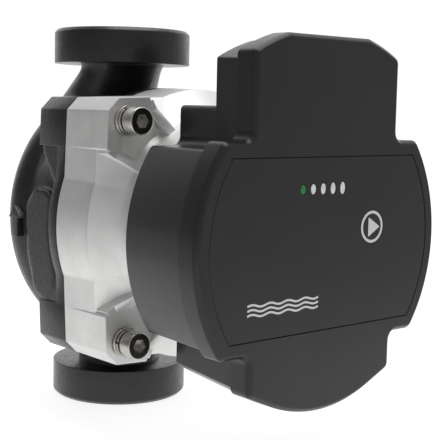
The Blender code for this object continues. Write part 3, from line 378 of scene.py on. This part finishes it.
# The screw's flat end faces and socket floor in a painted shade: a dark look that stands in for the shade and
# dark reflection they show.
painted_shade_screw_end = surface(
    "painted_shade_end_look", ("#1A1918", "#2B2A28"), 0.8, (0.35, 0.5), 0.5, [(0.3, 0.006)], Metallic=0.6
)
# Moulded housing plastic: near black with an even spark-eroded grain that breaks up its sheen.
box_plastic = surface(
    "grained_black_plastic", ("#1D1D1E", "#212122"), 12.0, (0.34, 0.40), 3.0, [(0.28, 0.006)],
    Specular_IOR_Level=0.28, Coat_Weight=0.25, Coat_Roughness=0.14,
)
# The inlaid panel: the same black, smoother and slightly lighter than the shell round it.
panel_film = surface(
    "satin_panel_film", ("#1E1E1F", "#222223"), 15.0, (0.33, 0.38), 4.0, [(0.2, 0.003)],
    Specular_IOR_Level=0.4,
)
# White screen print with a faint mottle.
white_print = surface("white_screen_print", ("#CFCFCF", "#DEDEDE"), 0.6, (0.40, 0.50), 0.5)
# Milky windows with a faint painted glow: their small emission stands in for light scattered through their
# own thickness, as their lights are off.
milky_window_painted_glow = surface(
    "milky_window_painted_glow", ("#C9C9C9", "#E4E4E4"), 1.2, (0.18, 0.26), 0.8,
    Emission_Color=linear("#FFFFFF"), Emission_Strength=0.05,
)
# The one window with its light on: deep green with a soft glow.
green_window = surface(
    "green_window", ("#0F5A26", "#1B7A36"), 1.0, (0.18, 0.26), 0.8,
    Emission_Color=linear("#0E6B2A"), Emission_Strength=0.35,
)
# Dense black rubber, dull, with a fine bloom.
black_rubber = surface("black_rubber", ("#161616", "#1F1F1F"), 2.0, (0.72, 0.85), 1.0, [(0.4, 0.01)])
# Glass-filled connector nylon: black, a little streaky.
black_nylon = surface("black_nylon", ("#18181A", "#222224"), 3.0, (0.48, 0.60), 1.2, [(0.5, 0.01)])
# Drawn stainless sheet: bright grey with soft draw lines.
drawn_stainless = surface(
    "drawn_stainless", ("#A9A9A6", "#C2C2BF"), 4.0, (0.22, 0.34), 1.0, [(0.5, 0.003)], Metallic=1.0
)
# Tinned contact: bright with a mild haze.
tinned_contact = surface(
    "tinned_contact", ("#BDBDBB", "#D4D4D2"), 1.0, (0.18, 0.28), 0.5, [(0.2, 0.002)], Metallic=1.0
)
# Impeller moulding: straw-coloured with the pale flecks of its glass fibres.
impeller_plastic = surface(
    "glass_filled_straw_plastic", ("#A0916A", "#BFB08A"), 0.7, (0.42, 0.55), 0.8, [(0.3, 0.01)]
)
# Ground ceramic shaft: ivory and nearly polished.
ground_ceramic = surface(
    "ground_ivory_ceramic", ("#DDD6C8", "#ECE7DC"), 2.0, (0.14, 0.22), 1.0, [(0.3, 0.001)]
)
# Carbon bearing: grey-black with a dull graphite sheen.
graphite_carbon = surface("graphite_carbon", ("#26272A", "#33353A"), 1.2, (0.34, 0.46), 0.7, [(0.3, 0.003)])
# Coated magnet: dark metallic grey.
coated_magnet = surface(
    "coated_magnet", ("#3A3B3F", "#4A4B50"), 2.5, (0.30, 0.42), 1.0, [(0.6, 0.005)], Metallic=0.8
)
# Stacked electrical sheet: dull blue-grey.
stacked_sheet = surface(
    "stacked_sheet", ("#5A5D62", "#6E7278"), 1.5, (0.40, 0.55), 0.5, [(0.5, 0.02)], Metallic=1.0
)
# Enamelled copper wire: warm red-brown under a clear varnish.
enamelled_copper = surface(
    "enamelled_copper", ("#8A3F1E", "#B5612F"), 0.8, (0.25, 0.36), 0.6, [(0.5, 0.05)],
    Metallic=0.85, Coat_Weight=0.5,
)
# Solder mask over copper tracks: deep green, glossy, with darker patches.
solder_mask = surface("green_solder_mask", ("#0B3D1E", "#14602F"), 3.5, (0.26, 0.38), 1.5, [(1.2, 0.02)])


# --- pump casting ---------------------------------------------------------------------------------
def flange_outline(grow=0.0):
    """A chamfered square that widens a little to four shallow round bulges."""
    half, bulge = FLANGE_HALF + grow, FLANGE_BULGE + 1.2 * grow
    reach = math.acos((FLANGE_CREASE + grow) / bulge)
    quarter = [(half, -half + FLANGE_CHAMFER)]
    quarter += arc(bulge, -reach, reach, 24)
    quarter += [(half, half - FLANGE_CHAMFER)]
    turns = [Matrix.Rotation(math.radians(90 * k), 2) for k in range(4)]
    return [tuple(turn @ Vector(point)) for turn in turns for point in quarter]


def corner_block(low, high):
    """One corner of the flange, eased, before it is turned to its place; its sides stand a hair proud."""
    edge, wide, start, inner = FLANGE_HALF + 0.03, FLANGE_HALF + 0.51, BLOCK_START, 21.0
    cut = edge - FLANGE_CHAMFER
    outline = [(inner, start), (start, inner), (wide, start), (edge, cut), (cut, edge), (start, wide)]
    return eased(prism(outline, low, high), 0.4)


def corner_blocks(low, high):
    return [swung(corner_block(low, high), math.radians(90 * k)) for k in range(4)]


def level_duct(sections, count=64):
    """A round passage through (height, depth, radius) sections, each lying level."""
    rows = []
    for height, depth, radius in sections:
        rows.append([(x, height, depth + z) for x, z in circle(radius, count)])
    return skinned(rows)


def neck(side):
    """The bend from a port disc down to the body, which sweeps back as it widens."""
    rows = [(side * (PORT_HALF - below), 0.0, radius)
            for below, radius in ((9, 14.9), (12.2, 14.9), (12.7, 14.5), (13.3, 14.1))]
    for k in range(1, 9):
        share = k / 8
        height = PORT_HALF - 13 - 14 * share
        rows.append((side * height, -10.5 * share, 14.0 + 3.7 * share))
    rows.append((side * 26, -10.5, 17.7))
    return level_duct(rows)


def port_disc(side):
    profile = [(PORT_HALF - 12, 13.2), (PORT_HALF - 12, 23.9), (PORT_HALF - 1.25, 23.9),
               (PORT_HALF, 22.65), (PORT_HALF, 13.8), (PORT_HALF - 0.8, 13.0)]
    disc = turned(softened(profile, 0.35), 128)
    return swung(disc, math.radians(-90 * side), "X")


def egg(half_width, half_height, half_depth, depth):
    shape = bmesh.new()
    bmesh.ops.create_uvsphere(shape, u_segments=72, v_segments=36, radius=1.0)
    shape.transform(Matrix.Diagonal((half_width, half_height, half_depth, 1.0)))
    return shifted(shape, depth=depth)


def squarish(half, power, count=96):
    """An outline between a circle (power 2) and a square (a high power)."""
    outline = []
    for x, y in circle(1.0, count):
        reach = half / (abs(x) ** power + abs(y) ** power) ** (1 / power)
        outline.append((x * reach, y * reach))
    return outline


def shoulder():
    """The body that grows from the round volute to the square flange."""
    stages = [(-5.0, 38.6, 2.0), (-1.0, 39.0, 2.0), (3.0, 39.0, 2.3), (8.0, 38.5, 3.0), (12.3, 38.2, 4.5),
              (17.0, 38.2, 6.5), (24.5, 38.2, 8.0)]
    return skinned([at_depth(squarish(half, power), depth) for depth, half, power in stages])


def block_webs():
    """On each flank the corner blocks run on into the band behind the joint in long hollow curves."""
    half = [(27.4, 30.0), (12.6, 30.0), (12.6, 25.0), (14.2, 21.5), (16.6, 18.0), (19.2, 14.6),
            (21.2, 11.0), (22.0, 6.0)]
    outline = half + [(depth, -height) for depth, height in reversed(half)]
    webs = prism([(-depth, height) for depth, height in outline], -40.9, 40.9)
    return swung(webs, math.radians(90), "Y")


def flank_pad():
    """The raised field on each flank, round above, straighter in front and drawn down to a blunt tip."""
    corners = [(2.2, 4.5, 3.0), (5.5, 9.2, 4.5), (10.5, 11.2, 6.0), (16.5, 10.6, 4.5), (19.0, 8.6, 1.0),
               (17.5, -2.1, 14.0), (21.0, -15.0, 5.0), (20.4, -20.6, 4.0), (15.3, -26.0, 4.0),
               (8.0, -23.0, 9.0), (3.4, -12.0, 9.0)]
    outline = [(-depth, height) for depth, height in rounded(corners, 5)]
    return swung(prism(outline, -41.55, 41.55), math.radians(90), "Y")


def flow_arrow():
    """The cast-in arrow that points to the outlet, on the left flank."""
    corners = [(-2.0, -6.1), (2.0, -6.1), (2.0, 0.2), (3.9, 0.2), (0.0, 4.3), (-3.9, 0.2), (-2.0, 0.2)]
    arrow = eased(prism(corners, -5.0, 0.0), 0.25)
    swung(arrow, math.radians(-90), "Y")
    return shifted(arrow, -42.3, 0.0, -2.7)


def casting_freedom(places):
    """How freely the skin's creases melt: wholly over the body, less by the discs and round the pads."""
    side, height, depth = np.abs(places[:, 0]), np.abs(places[:, 1]), places[:, 2]
    share = np.where(height > PORT_HALF - 13.5, 0.3, 0.9)
    return np.where((side > 38.5) & (depth > 8.0) & (depth < 21.5), 0.12, share)


def make_pump_casting():
    raw = gathered(shoulder(), egg(41.1, 45.5, 20.0, -5.0), block_webs(), flank_pad(), neck(1), neck(-1))
    body = relaxed(fused(raw, 0.7), 20, casting_freedom)
    plate = eased(prism(flange_outline(), 22.8, JOINT), 0.3)
    body = combined(body, "UNION", plate, *corner_blocks(12.0, 27.47), flow_arrow())
    steps = [(-8.0, 0.0), (-8.0, 9.5), (8.5, 9.5), (8.5, 12.4), (11.0, 12.4), (11.0, 31.6), (28.5, 31.6),
             (28.5, 0.0)]
    hollow = turned(softened(steps, 0.2, 1), 72)
    suction = level_duct([(-66.0, 0.0, 13.0), (-57.0, 0.0, 13.0), (-53.0, 0.0, 10.3), (-42.0, -5.0, 10.3),
                          (-24.0, -8.0, 10.3), (10.3, -8.0, 10.3)])
    discharge = level_duct([(66.0, 0.0, 13.0), (57.0, 0.0, 13.0), (53.0, 0.0, 10.3), (42.0, -4.0, 9.3),
                            (33.0, 5.0, 8.3), (22.0, 17.0, 7.3)])
    holes = gathered(*[shifted(rod(2.8, 17.2, 28.5, 24), *place) for place in SCREW_PLACES])
    body = combined(body, "DIFFERENCE", hollow, suction, discharge, holes)
    whole = gathered(body, port_disc(1), port_disc(-1))
    piece("pump_casting", whole, "pump", ["pump_housing"], cast_iron, "cast_iron", angle=32, weighted=False)


# --- motor housing --------------------------------------------------------------------------------
def gusset_rib():
    """A web that runs from a corner block up to the barrel."""
    side = [(47.5, 33.5), (47.5, 50.1), (44.3, 50.1), (34.5, 55.4), (34.5, 33.5)]
    return eased(swung(prism(side, -1.65, 1.65), math.radians(90), "X"), 0.35)


def plate_screw_holes(low, high):
    """The three holes for the screws that hold the box to the motor's end."""
    holes = []
    for degrees in (90, 210, 330):
        angle = math.radians(degrees)
        holes.append(shifted(rod(2.0, low, high, 24), 28.0 * math.cos(angle), 28.0 * math.sin(angle)))
    return holes


def lead_way(low, high):
    return shifted(prism([(-8.3, -3.3), (8.3, -3.3), (8.3, 3.3), (-8.3, 3.3)], low, high), 0.0, -19.0)


def make_motor_housing():
    edge = MOTOR_RADIUS - 0.6
    barrel = turned([(30.0, 0.0), (30.0, MOTOR_RADIUS), (66.9, MOTOR_RADIUS), (67.5, edge), (67.5, 0.0)], 144)
    barrel = swung(barrel, 0.01)
    turns = [math.radians(45 + 90 * k + side * 12.4) for k in range(4) for side in (-1, 1)]
    ribs = [swung(gusset_rib(), turn) for turn in turns]
    plate = ((27.56, -0.2), (27.75, 0.0), (43.9, -0.36), (44.3, -0.6))
    stages = [at_depth(flange_outline(grow), depth) for depth, grow in plate]
    for depth, radius in ((50.5, 37.8), (52.5, 36.9), (55.5, 36.1)):
        stages.append([(*(Vector(point).normalized() * radius), depth) for point in flange_outline()])
    body = combined(skinned(stages), "UNION", barrel, *ribs, *corner_blocks(27.6, 50.3))
    cavity = turned([(26.5, 0.0), (26.5, 37.1), (29.2, 37.1), (29.2, 31.3), (62.6, 31.3), (62.6, 0.0)], 96)
    holes = [shifted(rod(2.8, 26.5, 52.0, 24), *place) for place in SCREW_PLACES]
    holes += plate_screw_holes(64.0, 69.0)
    body = combined(body, "DIFFERENCE", cavity, gathered(*holes, lead_way(61.0, 69.0)))
    piece("motor_housing", body, "pump", ["stator_housing"], cast_aluminium, "cast_aluminium", angle=42)


# --- screws and washers ---------------------------------------------------------------------------
def hexagon(across_flats, turn):
    return circle(across_flats / math.sqrt(3), 6, turn)


def screw_shape(turn):
    """A cylinder-head screw with a hexagon socket; its flat end faces and socket floor take the second look,
    a painted shade.
    """
    profile = [(17.5, 0.0), (17.5, 2.5), (53.2, 2.5), (53.2, 4.25), (58.0, 4.25), (58.0, 0.0)]
    shape = turned(softened(profile, 0.45), 64)
    shape = combined(shape, "DIFFERENCE", prism(hexagon(4.0, turn), 55.3, 59.0))
    for face in shape.faces:
        centre = face.calc_center_median()
        # Painted shade: the forward-facing flat faces at the screw's end get the dark second look.
        dark = centre.z > 57.0 and math.hypot(centre.x, centre.y) < 3.9 and abs(face.normal.z) > 0.9
        face.material_index = 1 if dark else 0
    return shape


def spring_washer_shape(turn):
    """A split ring whose two ends spring a little apart."""
    sections = []
    for k in range(49):
        share = k / 48
        angle = turn + math.radians(352) * share
        rise = 0.16 * (share - 0.5)
        row = []
        for radius, depth in ((2.85, 51.75), (4.35, 51.75), (4.35, 52.65), (2.85, 52.65)):
            row.append((radius * math.cos(angle), radius * math.sin(angle), depth + rise))
        sections.append(row)
    return skinned(sections)


def make_screws():
    finish = (screw_steel, "screw_steel")
    for k, place in enumerate(SCREW_PLACES, 1):
        turn = 0.35 + 0.9 * k
        screw = shifted(screw_shape(turn), *place)
        piece(f"cap_screw_{k}", screw, "pump", [f"housing_screw_{k}"], *finish, extra=(painted_shade_screw_end,))
        flat = turned(softened([(50.6, 2.85), (50.6, 4.75), (51.6, 4.75), (51.6, 2.85)], 0.2), 64)
        piece(f"plain_ring_{k}", shifted(flat, *place), "pump", [f"flat_washer_{k}"], *finish)
        sprung = shifted(spring_washer_shape(turn), *place)
        piece(f"split_ring_{k}", sprung, "pump", [f"spring_washer_{k}"], *finish, bevel=0.12)


# --- control box ----------------------------------------------------------------------------------
def box_outline(radius, flat, neck_half, top, corner, top_radius=None, low_reach=None, grow=0.0):
    """A circle cut flat above and below, with an extension up and another down to its lowest arc.

    low_reach is the half width at which that arc turns into a straight.
    """
    radius, flat, neck_half, top = radius + grow, flat + grow, neck_half + grow, top + grow
    corner, fillet = max(corner + grow, 0.5), max(2.8 - grow, 0.6)
    swing = math.asin((low_reach or neck_half - 0.8) / radius)
    right = [(x, y, 0.0) for x, y in arc(radius, -math.pi / 2, -math.pi / 2 + swing, 20)]
    right.append((neck_half, right[-1][1] + (neck_half - right[-1][0]) * math.tan(swing), corner))
    right.append((neck_half, -flat, fillet))
    reach = math.asin(flat / radius)
    side = [(x, y, 0.0) for x, y in trimmed_arc(radius, reach, corner)]
    side.insert(0, (radius * math.cos(reach), -flat, corner))
    side.append((radius * math.cos(reach), flat, corner))
    right += side
    right.append((neck_half, flat, fillet))
    if top_radius:
        top_radius += grow
        crown = arc(top_radius, math.acos(neck_half / top_radius), math.asin(top / top_radius), 12)
        right.append((*crown[0], corner))
        right += [(x, y, 0.0) for x, y in crown[2:-1]]
        right.append((*crown[-1], 0.8))
    else:
        right.append((neck_half, top, corner))
    left = [(-x, y, r) for x, y, r in reversed(right) if x > 0.01]
    return rounded(right + left)


def trimmed_arc(radius, reach, corner):
    """The side arc without the short stretches that the corner fillets take."""
    cut = 1.3 * corner / radius
    return arc(radius, -reach + cut, reach - cut, 36)


def extension_half(depth):
    """The back shell's extensions widen from its back to the seam."""
    return 27.8 + 1.9 * (depth - BASE_BACK) / (SEAM - BASE_BACK)


def base_section(depth, grow=0.0):
    radius = 47.0 + 2.4 * (depth - BASE_BACK) / (SEAM - BASE_BACK)
    return at_depth(box_outline(radius, 27.4, extension_half(depth), 39.2, 1.5, grow=grow), depth)


def tall_section(depth, grow=0.0):
    half, radius, top = extension_half(depth) + grow, 60.1 + grow, 57.9 + grow
    crown = arc(radius, math.acos(half / radius), math.asin(top / radius), 12)
    right = [(half, 13.0, 0.0), (*crown[0], max(1.5 + grow, 0.5))]
    right += [(x, y, 0.0) for x, y in crown[1:-1]] + [(*crown[-1], 0.8)]
    return at_depth(rounded(right + [(-x, y, r) for x, y, r in reversed(right)]), depth)


def socket_outline(x, width, height, grow=0.0):
    corners = [(sx * (width / 2 + grow), sy * (height / 2 + grow), max(1.5 + grow, 0.3))
               for sx, sy in ((1, 1), (-1, 1), (-1, -1), (1, -1))]
    return [(x + px, SOCKET_HEIGHT + py) for px, py in rounded(corners)]


def make_back_shell():
    seam = SEAM - 0.03
    rim = [(BASE_BACK, -0.35), (67.95, -0.17), (68.07, -0.05), (68.25, 0.0)]
    lip = [(seam - 0.3, 0.0), (seam, -0.08)]
    outside = skinned([base_section(d, g) for d, g in rim + [(82.0, 0.0)] + lip])
    tall_rim = [(85.3, -0.35), (85.35, -0.17), (85.47, -0.05), (85.65, 0.0)]
    tall = skinned([tall_section(d, g) for d, g in tall_rim + lip])
    shell = combined(outside, "UNION", tall)
    inside = skinned([base_section(70.1, -BOX_WALL), base_section(96.0, -BOX_WALL)])
    tall_inside = skinned([tall_section(87.4, -BOX_WALL), tall_section(96.0, -BOX_WALL)])
    shell = combined(shell, "DIFFERENCE", inside, tall_inside)
    posts = [shifted(rod(3.0, 69.5, 88.2, 32), side * 38.0, 0.0) for side in (-1, 1)]
    shell = combined(shell, "UNION", gathered(*posts))
    holes = plate_screw_holes(66.0, 71.5)
    holes += [shifted(rod(1.55, 81.5, 90.0, 24), side * 38.0, 0.0) for side in (-1, 1)]
    holes.append(lead_way(66.5, 71.5))
    holes += [prism(socket_outline(x, w, h, 0.3), 84.0, 88.6) for x, w, h in SOCKETS.values()]
    shell = combined(shell, "DIFFERENCE", gathered(*holes))
    piece("back_shell", shell, "pump", ["box_base"], box_plastic, "box_plastic", angle=40)


def cover_section(depth, grow=0.0):
    return at_depth(box_outline(49.6, 29.75, 29.9, 59.7, 2.6, 61.95, 20.0, grow), depth)


def panel_outline(grow=0.0):
    reach = math.asin((25.2 + grow) / (44.9 + grow))
    right = arc(44.9 + grow, -reach, reach, 48)
    return right + [(-x, y) for x, y in reversed(right)]


def window_outline(k, grow=0.0):
    """The status windows are ellipses that grow taller one after another."""
    x, half = -10.5 + 4.07 * k, 1.35 + 0.12 * k + grow
    return [(x + (1.0 + grow) * px, 16.1 + half * py) for px, py in circle(1.0, 40)]


def make_cover():
    seam = SEAM + 0.03
    sides = [(seam, -0.25), (seam + 0.1, -0.07), (seam + 0.3, 0.0), (100.9, 0.0), (101.25, -0.08),
             (101.55, -0.3), (102.15, -0.85), (102.42, -1.18), (FRONT, -1.7)]
    shell = skinned([cover_section(d, g) for d, g in sides])
    inside = prism([p[:2] for p in cover_section(0.0, -BOX_WALL)], 94.0, 99.6)
    recess = prism(panel_outline(0.2), 101.5, 103.6)
    holes = [prism(window_outline(k, 0.2), 98.6, 102.5) for k in range(WINDOWS)]
    holes.append(shifted(rod(5.2, 98.6, 102.5, 64), *BUTTON_PLACE))
    shell = combined(shell, "DIFFERENCE", inside, recess, gathered(*holes))
    piece("front_shell", shell, "pump", ["box_cover"], box_plastic, "box_plastic", angle=40)


def make_panel():
    top = FRONT - PRINT
    plate = skinned([at_depth(panel_outline(), 101.8), at_depth(panel_outline(), top - 0.12),
                     at_depth(panel_outline(-0.12), top)])
    holes = [prism(window_outline(k, 0.15), 100.8, 103.6) for k in range(WINDOWS)]
    holes.append(shifted(rod(5.15, 100.8, 103.6, 64), *BUTTON_PLACE))
    plate = combined(plate, "DIFFERENCE", gathered(*holes))
    piece("inlaid_panel", plate, "pump", ["front_panel"], panel_film, "panel_plastic", angle=30)
    for k in range(WINDOWS):
        rings = [(98.4, 0.0), (top - 0.15, 0.0), (top - 0.03, -0.1), (top, -0.3)]
        window = skinned([at_depth(window_outline(k, g), d) for d, g in rings])
        look, slot = (green_window, "green_light") if k == 0 else (milky_window_painted_glow, "pale_light")
        piece(f"status_window_{k + 1}", window, "pump", [f"light_guide_{k + 1}"], look, slot)


def wave_line(low_x, high_x, middle, swing, length, half_width):
    """A flat wavy ribbon."""
    steps = 72
    upper, lower = [], []
    for k in range(steps + 1):
        x = low_x + (high_x - low_x) * k / steps
        phase = 2 * math.pi * (x - low_x) / length
        y = middle + swing * math.sin(phase)
        slope = Vector((1.0, swing * 2 * math.pi / length * math.cos(phase))).normalized()
        upper.append((x - slope.y * half_width, y + slope.x * half_width))
        lower.append((x + slope.y * half_width, y - slope.x * half_width))
    return prism(upper + lower[::-1], FRONT - PRINT - 0.02, FRONT)


def make_panel_print():
    """Three plain waves for water, in the lower left of the panel."""
    waves = [wave_line(-31.0, -3.3, -16.6 + 1.35 * k, 0.34, 6.9, 0.30) for k in (-1, 0, 1)]
    piece("wave_print", gathered(*waves), "pump", [], white_print, "pale_light")


def make_button():
    """A cap on a collar and a stem, with a printed ring and a plain triangle."""
    top = FRONT - PRINT
    profile = [(94.9, 0.0), (94.9, 2.0), (98.3, 2.0), (98.3, 6.4), (99.3, 6.4), (99.3, 4.4), (100.4, 4.4),
               (100.4, 5.0), (top, 5.0), (top, 0.0)]
    cap = shifted(turned(softened(profile, 0.15), 96), *BUTTON_PLACE)
    band = turned([(top - 0.02, 4.02), (top - 0.02, 4.86), (FRONT, 4.86), (FRONT, 4.02)], 96)
    mark = prism(rounded([(-1.6, 2.95, 0.25), (-1.6, -3.05, 0.25), (3.5, -0.1, 0.25)], 3), top - 0.02, FRONT)
    shape = gathered(cap, shifted(band, *BUTTON_PLACE), shifted(mark, *BUTTON_PLACE))
    for face in shape.faces:
        face.material_index = 1 if face.calc_center_median().z > top + 0.001 else 0
    print_look = (white_print,)
    piece("push_button", shape, "button_group", ["button"], panel_film, "button_plastic", extra=print_look)


def make_sockets():
    for node, size in SOCKETS.items():
        mouth = [(78.5, -0.35), (78.6, -0.12), (78.85, 0.0), (88.2, 0.0)]
        shell = skinned([at_depth(socket_outline(*size, g), d) for d, g in mouth])
        shell = combined(shell, "DIFFERENCE", prism(socket_outline(*size, -1.4), 77.0, 87.2))
        piece(node.replace("socket", "inlet"), shell, "pump", [node], black_nylon, "dark_plastic", angle=40)
    rings = [(76.6, -0.9), (76.7, -0.4), (77.0, -0.05), (77.9, 0.0), (78.2, -0.2), (78.21, -1.75),
             (84.5, -1.75)]
    plug = skinned([at_depth(socket_outline(*SOCKETS["signal_socket"], g), d) for d, g in rings])
    piece("socket_plug", plug, "pump", ["blanking_plug"], black_rubber, "rubber", angle=40)


# --- inner pieces and plain fixings keep their CAD shape ------------------------------------------
INNER_LOOKS = {
    "wear_ring": drawn_stainless,
    "impeller": impeller_plastic,
    "impeller_shroud": impeller_plastic,
    "shaft": ground_ceramic,
    "rotor": coated_magnet,
    "thrust_bearing": graphite_carbon,
    "front_bearing": graphite_carbon,
    "rear_bearing": graphite_carbon,
    "bearing_plate": drawn_stainless,
    "rotor_can": drawn_stainless,
    "housing_gasket": black_rubber,
    "stator_core": stacked_sheet,
    "lead_connector": black_nylon,
    "control_board": solder_mask,
    "bulk_capacitor": black_nylon,
    "filter_choke": enamelled_copper,
    "power_module": black_nylon,
    "switch_body": black_nylon,
    "switch_plunger": black_nylon,
    "box_gasket": black_rubber,
}
for number in range(1, 7):
    INNER_LOOKS[f"stator_coil_{number}"] = enamelled_copper
for number in range(1, 4):
    INNER_LOOKS[f"base_screw_{number}"] = screw_steel
    INNER_LOOKS[f"mains_pin_{number}"] = tinned_contact
for number in range(1, 3):
    INNER_LOOKS[f"board_screw_{number}"] = screw_steel


def dress_inner_nodes():
    for node, look in INNER_LOOKS.items():
        obj = bpy.data.objects[node]
        for place in obj.material_slots:
            place.link = "OBJECT"
            place.material = look
        if not obj.material_slots:
            obj.data.materials.append(look)


# --- studio ---------------------------------------------------------------------------------------
def make_floor():
    """Pale paper with a painted pool of light: its emission fans out from a fixed point off the pump's left
    front, strongest along one line and falling off to both sides; no lamp throws it.
    """
    shape = bmesh.new()
    bmesh.ops.create_grid(shape, x_segments=1, y_segments=1, size=6.0)
    floor = loose_object("pale_floor", shape)
    floor.location.z = -0.0006
    paper = surface(
        "pale_floor", ("#8A8A8A", "#909090"), 400.0, (0.75, 0.85), 60.0,
        Specular_IOR_Level=0.2, Emission_Color=linear("#FFFFFF"),
    )
    tree = paper.node_tree
    # Painted light: the emission strength is a fan on the floor, 0.34 at its sides and 0.88 along its middle.
    place = add(tree, "ShaderNodeTexCoord").outputs["Object"]
    from_fan_apex = add(tree, "ShaderNodeVectorMath", {0: place}, operation="SUBTRACT")
    from_fan_apex.inputs[1].default_value = (-0.33, -0.45, 0.0)
    ray = add(tree, "ShaderNodeVectorMath", {0: from_fan_apex.outputs["Vector"]}, operation="NORMALIZE")
    along = facing(tree, ray.outputs["Vector"], (0.657, 0.754, 0.0))
    painted_light_fan = faded(tree, along, 0.83, 0.97, 0.34, 0.88)
    tree.links.new(painted_light_fan, tree.nodes["Principled BSDF"].inputs["Emission Strength"])
    floor.data.materials.append(paper)


def facing(tree, source, way):
    """How far a direction points along way."""
    node = add(tree, "ShaderNodeVectorMath", {0: source}, operation="DOT_PRODUCT")
    node.inputs[1].default_value = way
    return node.outputs["Value"]


def faded(tree, source, start, end, low, high):
    """Low up to start, high from end on, and a soft step between them."""
    node = add(
        tree, "ShaderNodeMapRange", {"Value": source}, interpolation_type="SMOOTHSTEP",
        From_Min=start, From_Max=end, To_Min=low, To_Max=high,
    )
    return node.outputs["Result"]


def make_room():
    """Soft light all round: a glow behind the pump, and a room that is brighter at its right front."""
    world = bpy.data.worlds.new("studio")
    world.use_nodes = True
    tree = world.node_tree
    way = add(tree, "ShaderNodeTexCoord").outputs["Generated"]
    glow = faded(tree, facing(tree, way, (0.623, 0.715, 0.316)), 0.35, 0.88, 0.0, 0.75)
    room = add(tree, "ShaderNodeMath", {0: facing(tree, way, (0.6, -0.8, 0.0))}, operation="MULTIPLY_ADD")
    room.inputs[1].default_value = 0.16
    room.inputs[2].default_value = 0.34
    both = add(tree, "ShaderNodeMath", {0: glow, 1: room.outputs["Value"]}, operation="ADD")
    sky = tree.nodes["Background"]
    tree.links.new(both.outputs["Value"], sky.inputs["Strength"])
    sky.inputs["Color"].default_value = (1.0, 1.0, 1.0, 1.0)
    bpy.context.scene.world = world


def make_softbox():
    """One large soft light overhead, aimed at the middle of the pump."""
    light = bpy.data.lights.new("overhead_softbox", "AREA")
    light.shape = "RECTANGLE"
    light.size = 0.8
    light.size_y = 0.6
    light.energy = 4.5
    lamp = bpy.data.objects.new("overhead_softbox", light)
    lamp.location = (0.05, -0.10, 0.95)
    aim = Vector((0.0, -0.05, 0.06)) - lamp.location
    lamp.rotation_euler = aim.to_track_quat("-Z", "Y").to_euler()
    bpy.context.scene.collection.objects.link(lamp)


def make_camera():
    """A long lens a little above the box's height, left of its front."""
    yaw, pitch, roll = (math.radians(a) for a in (41.07, 6.107, 1.202))
    look = Vector((math.sin(yaw) * math.cos(pitch), math.cos(yaw) * math.cos(pitch), -math.sin(pitch)))
    level = Vector((math.cos(yaw), -math.sin(yaw), 0.0))
    up = level.cross(look)
    right = math.cos(roll) * level + math.sin(roll) * up
    top = -math.sin(roll) * level + math.cos(roll) * up
    camera = bpy.data.objects.new("camera", bpy.data.cameras.new("camera"))
    camera.data.lens = 86.62  # long, so the box's two ends look nearly alike in size
    camera.data.sensor_width = 36.0
    camera.data.clip_start = 0.01
    turn = Matrix((right, top, -look)).transposed()
    camera.matrix_world = Matrix.Translation((-0.22376, -0.31164, 0.10389)) @ turn.to_4x4()
    bpy.context.scene.collection.objects.link(camera)
    bpy.context.scene.camera = camera
    bpy.context.scene.view_settings.view_transform = "Standard"


make_camera()
make_floor()
make_room()
make_softbox()
make_pump_casting()
make_motor_housing()
make_screws()
make_back_shell()
make_cover()
make_panel()
make_panel_print()
make_button()
make_sockets()
dress_inner_nodes()
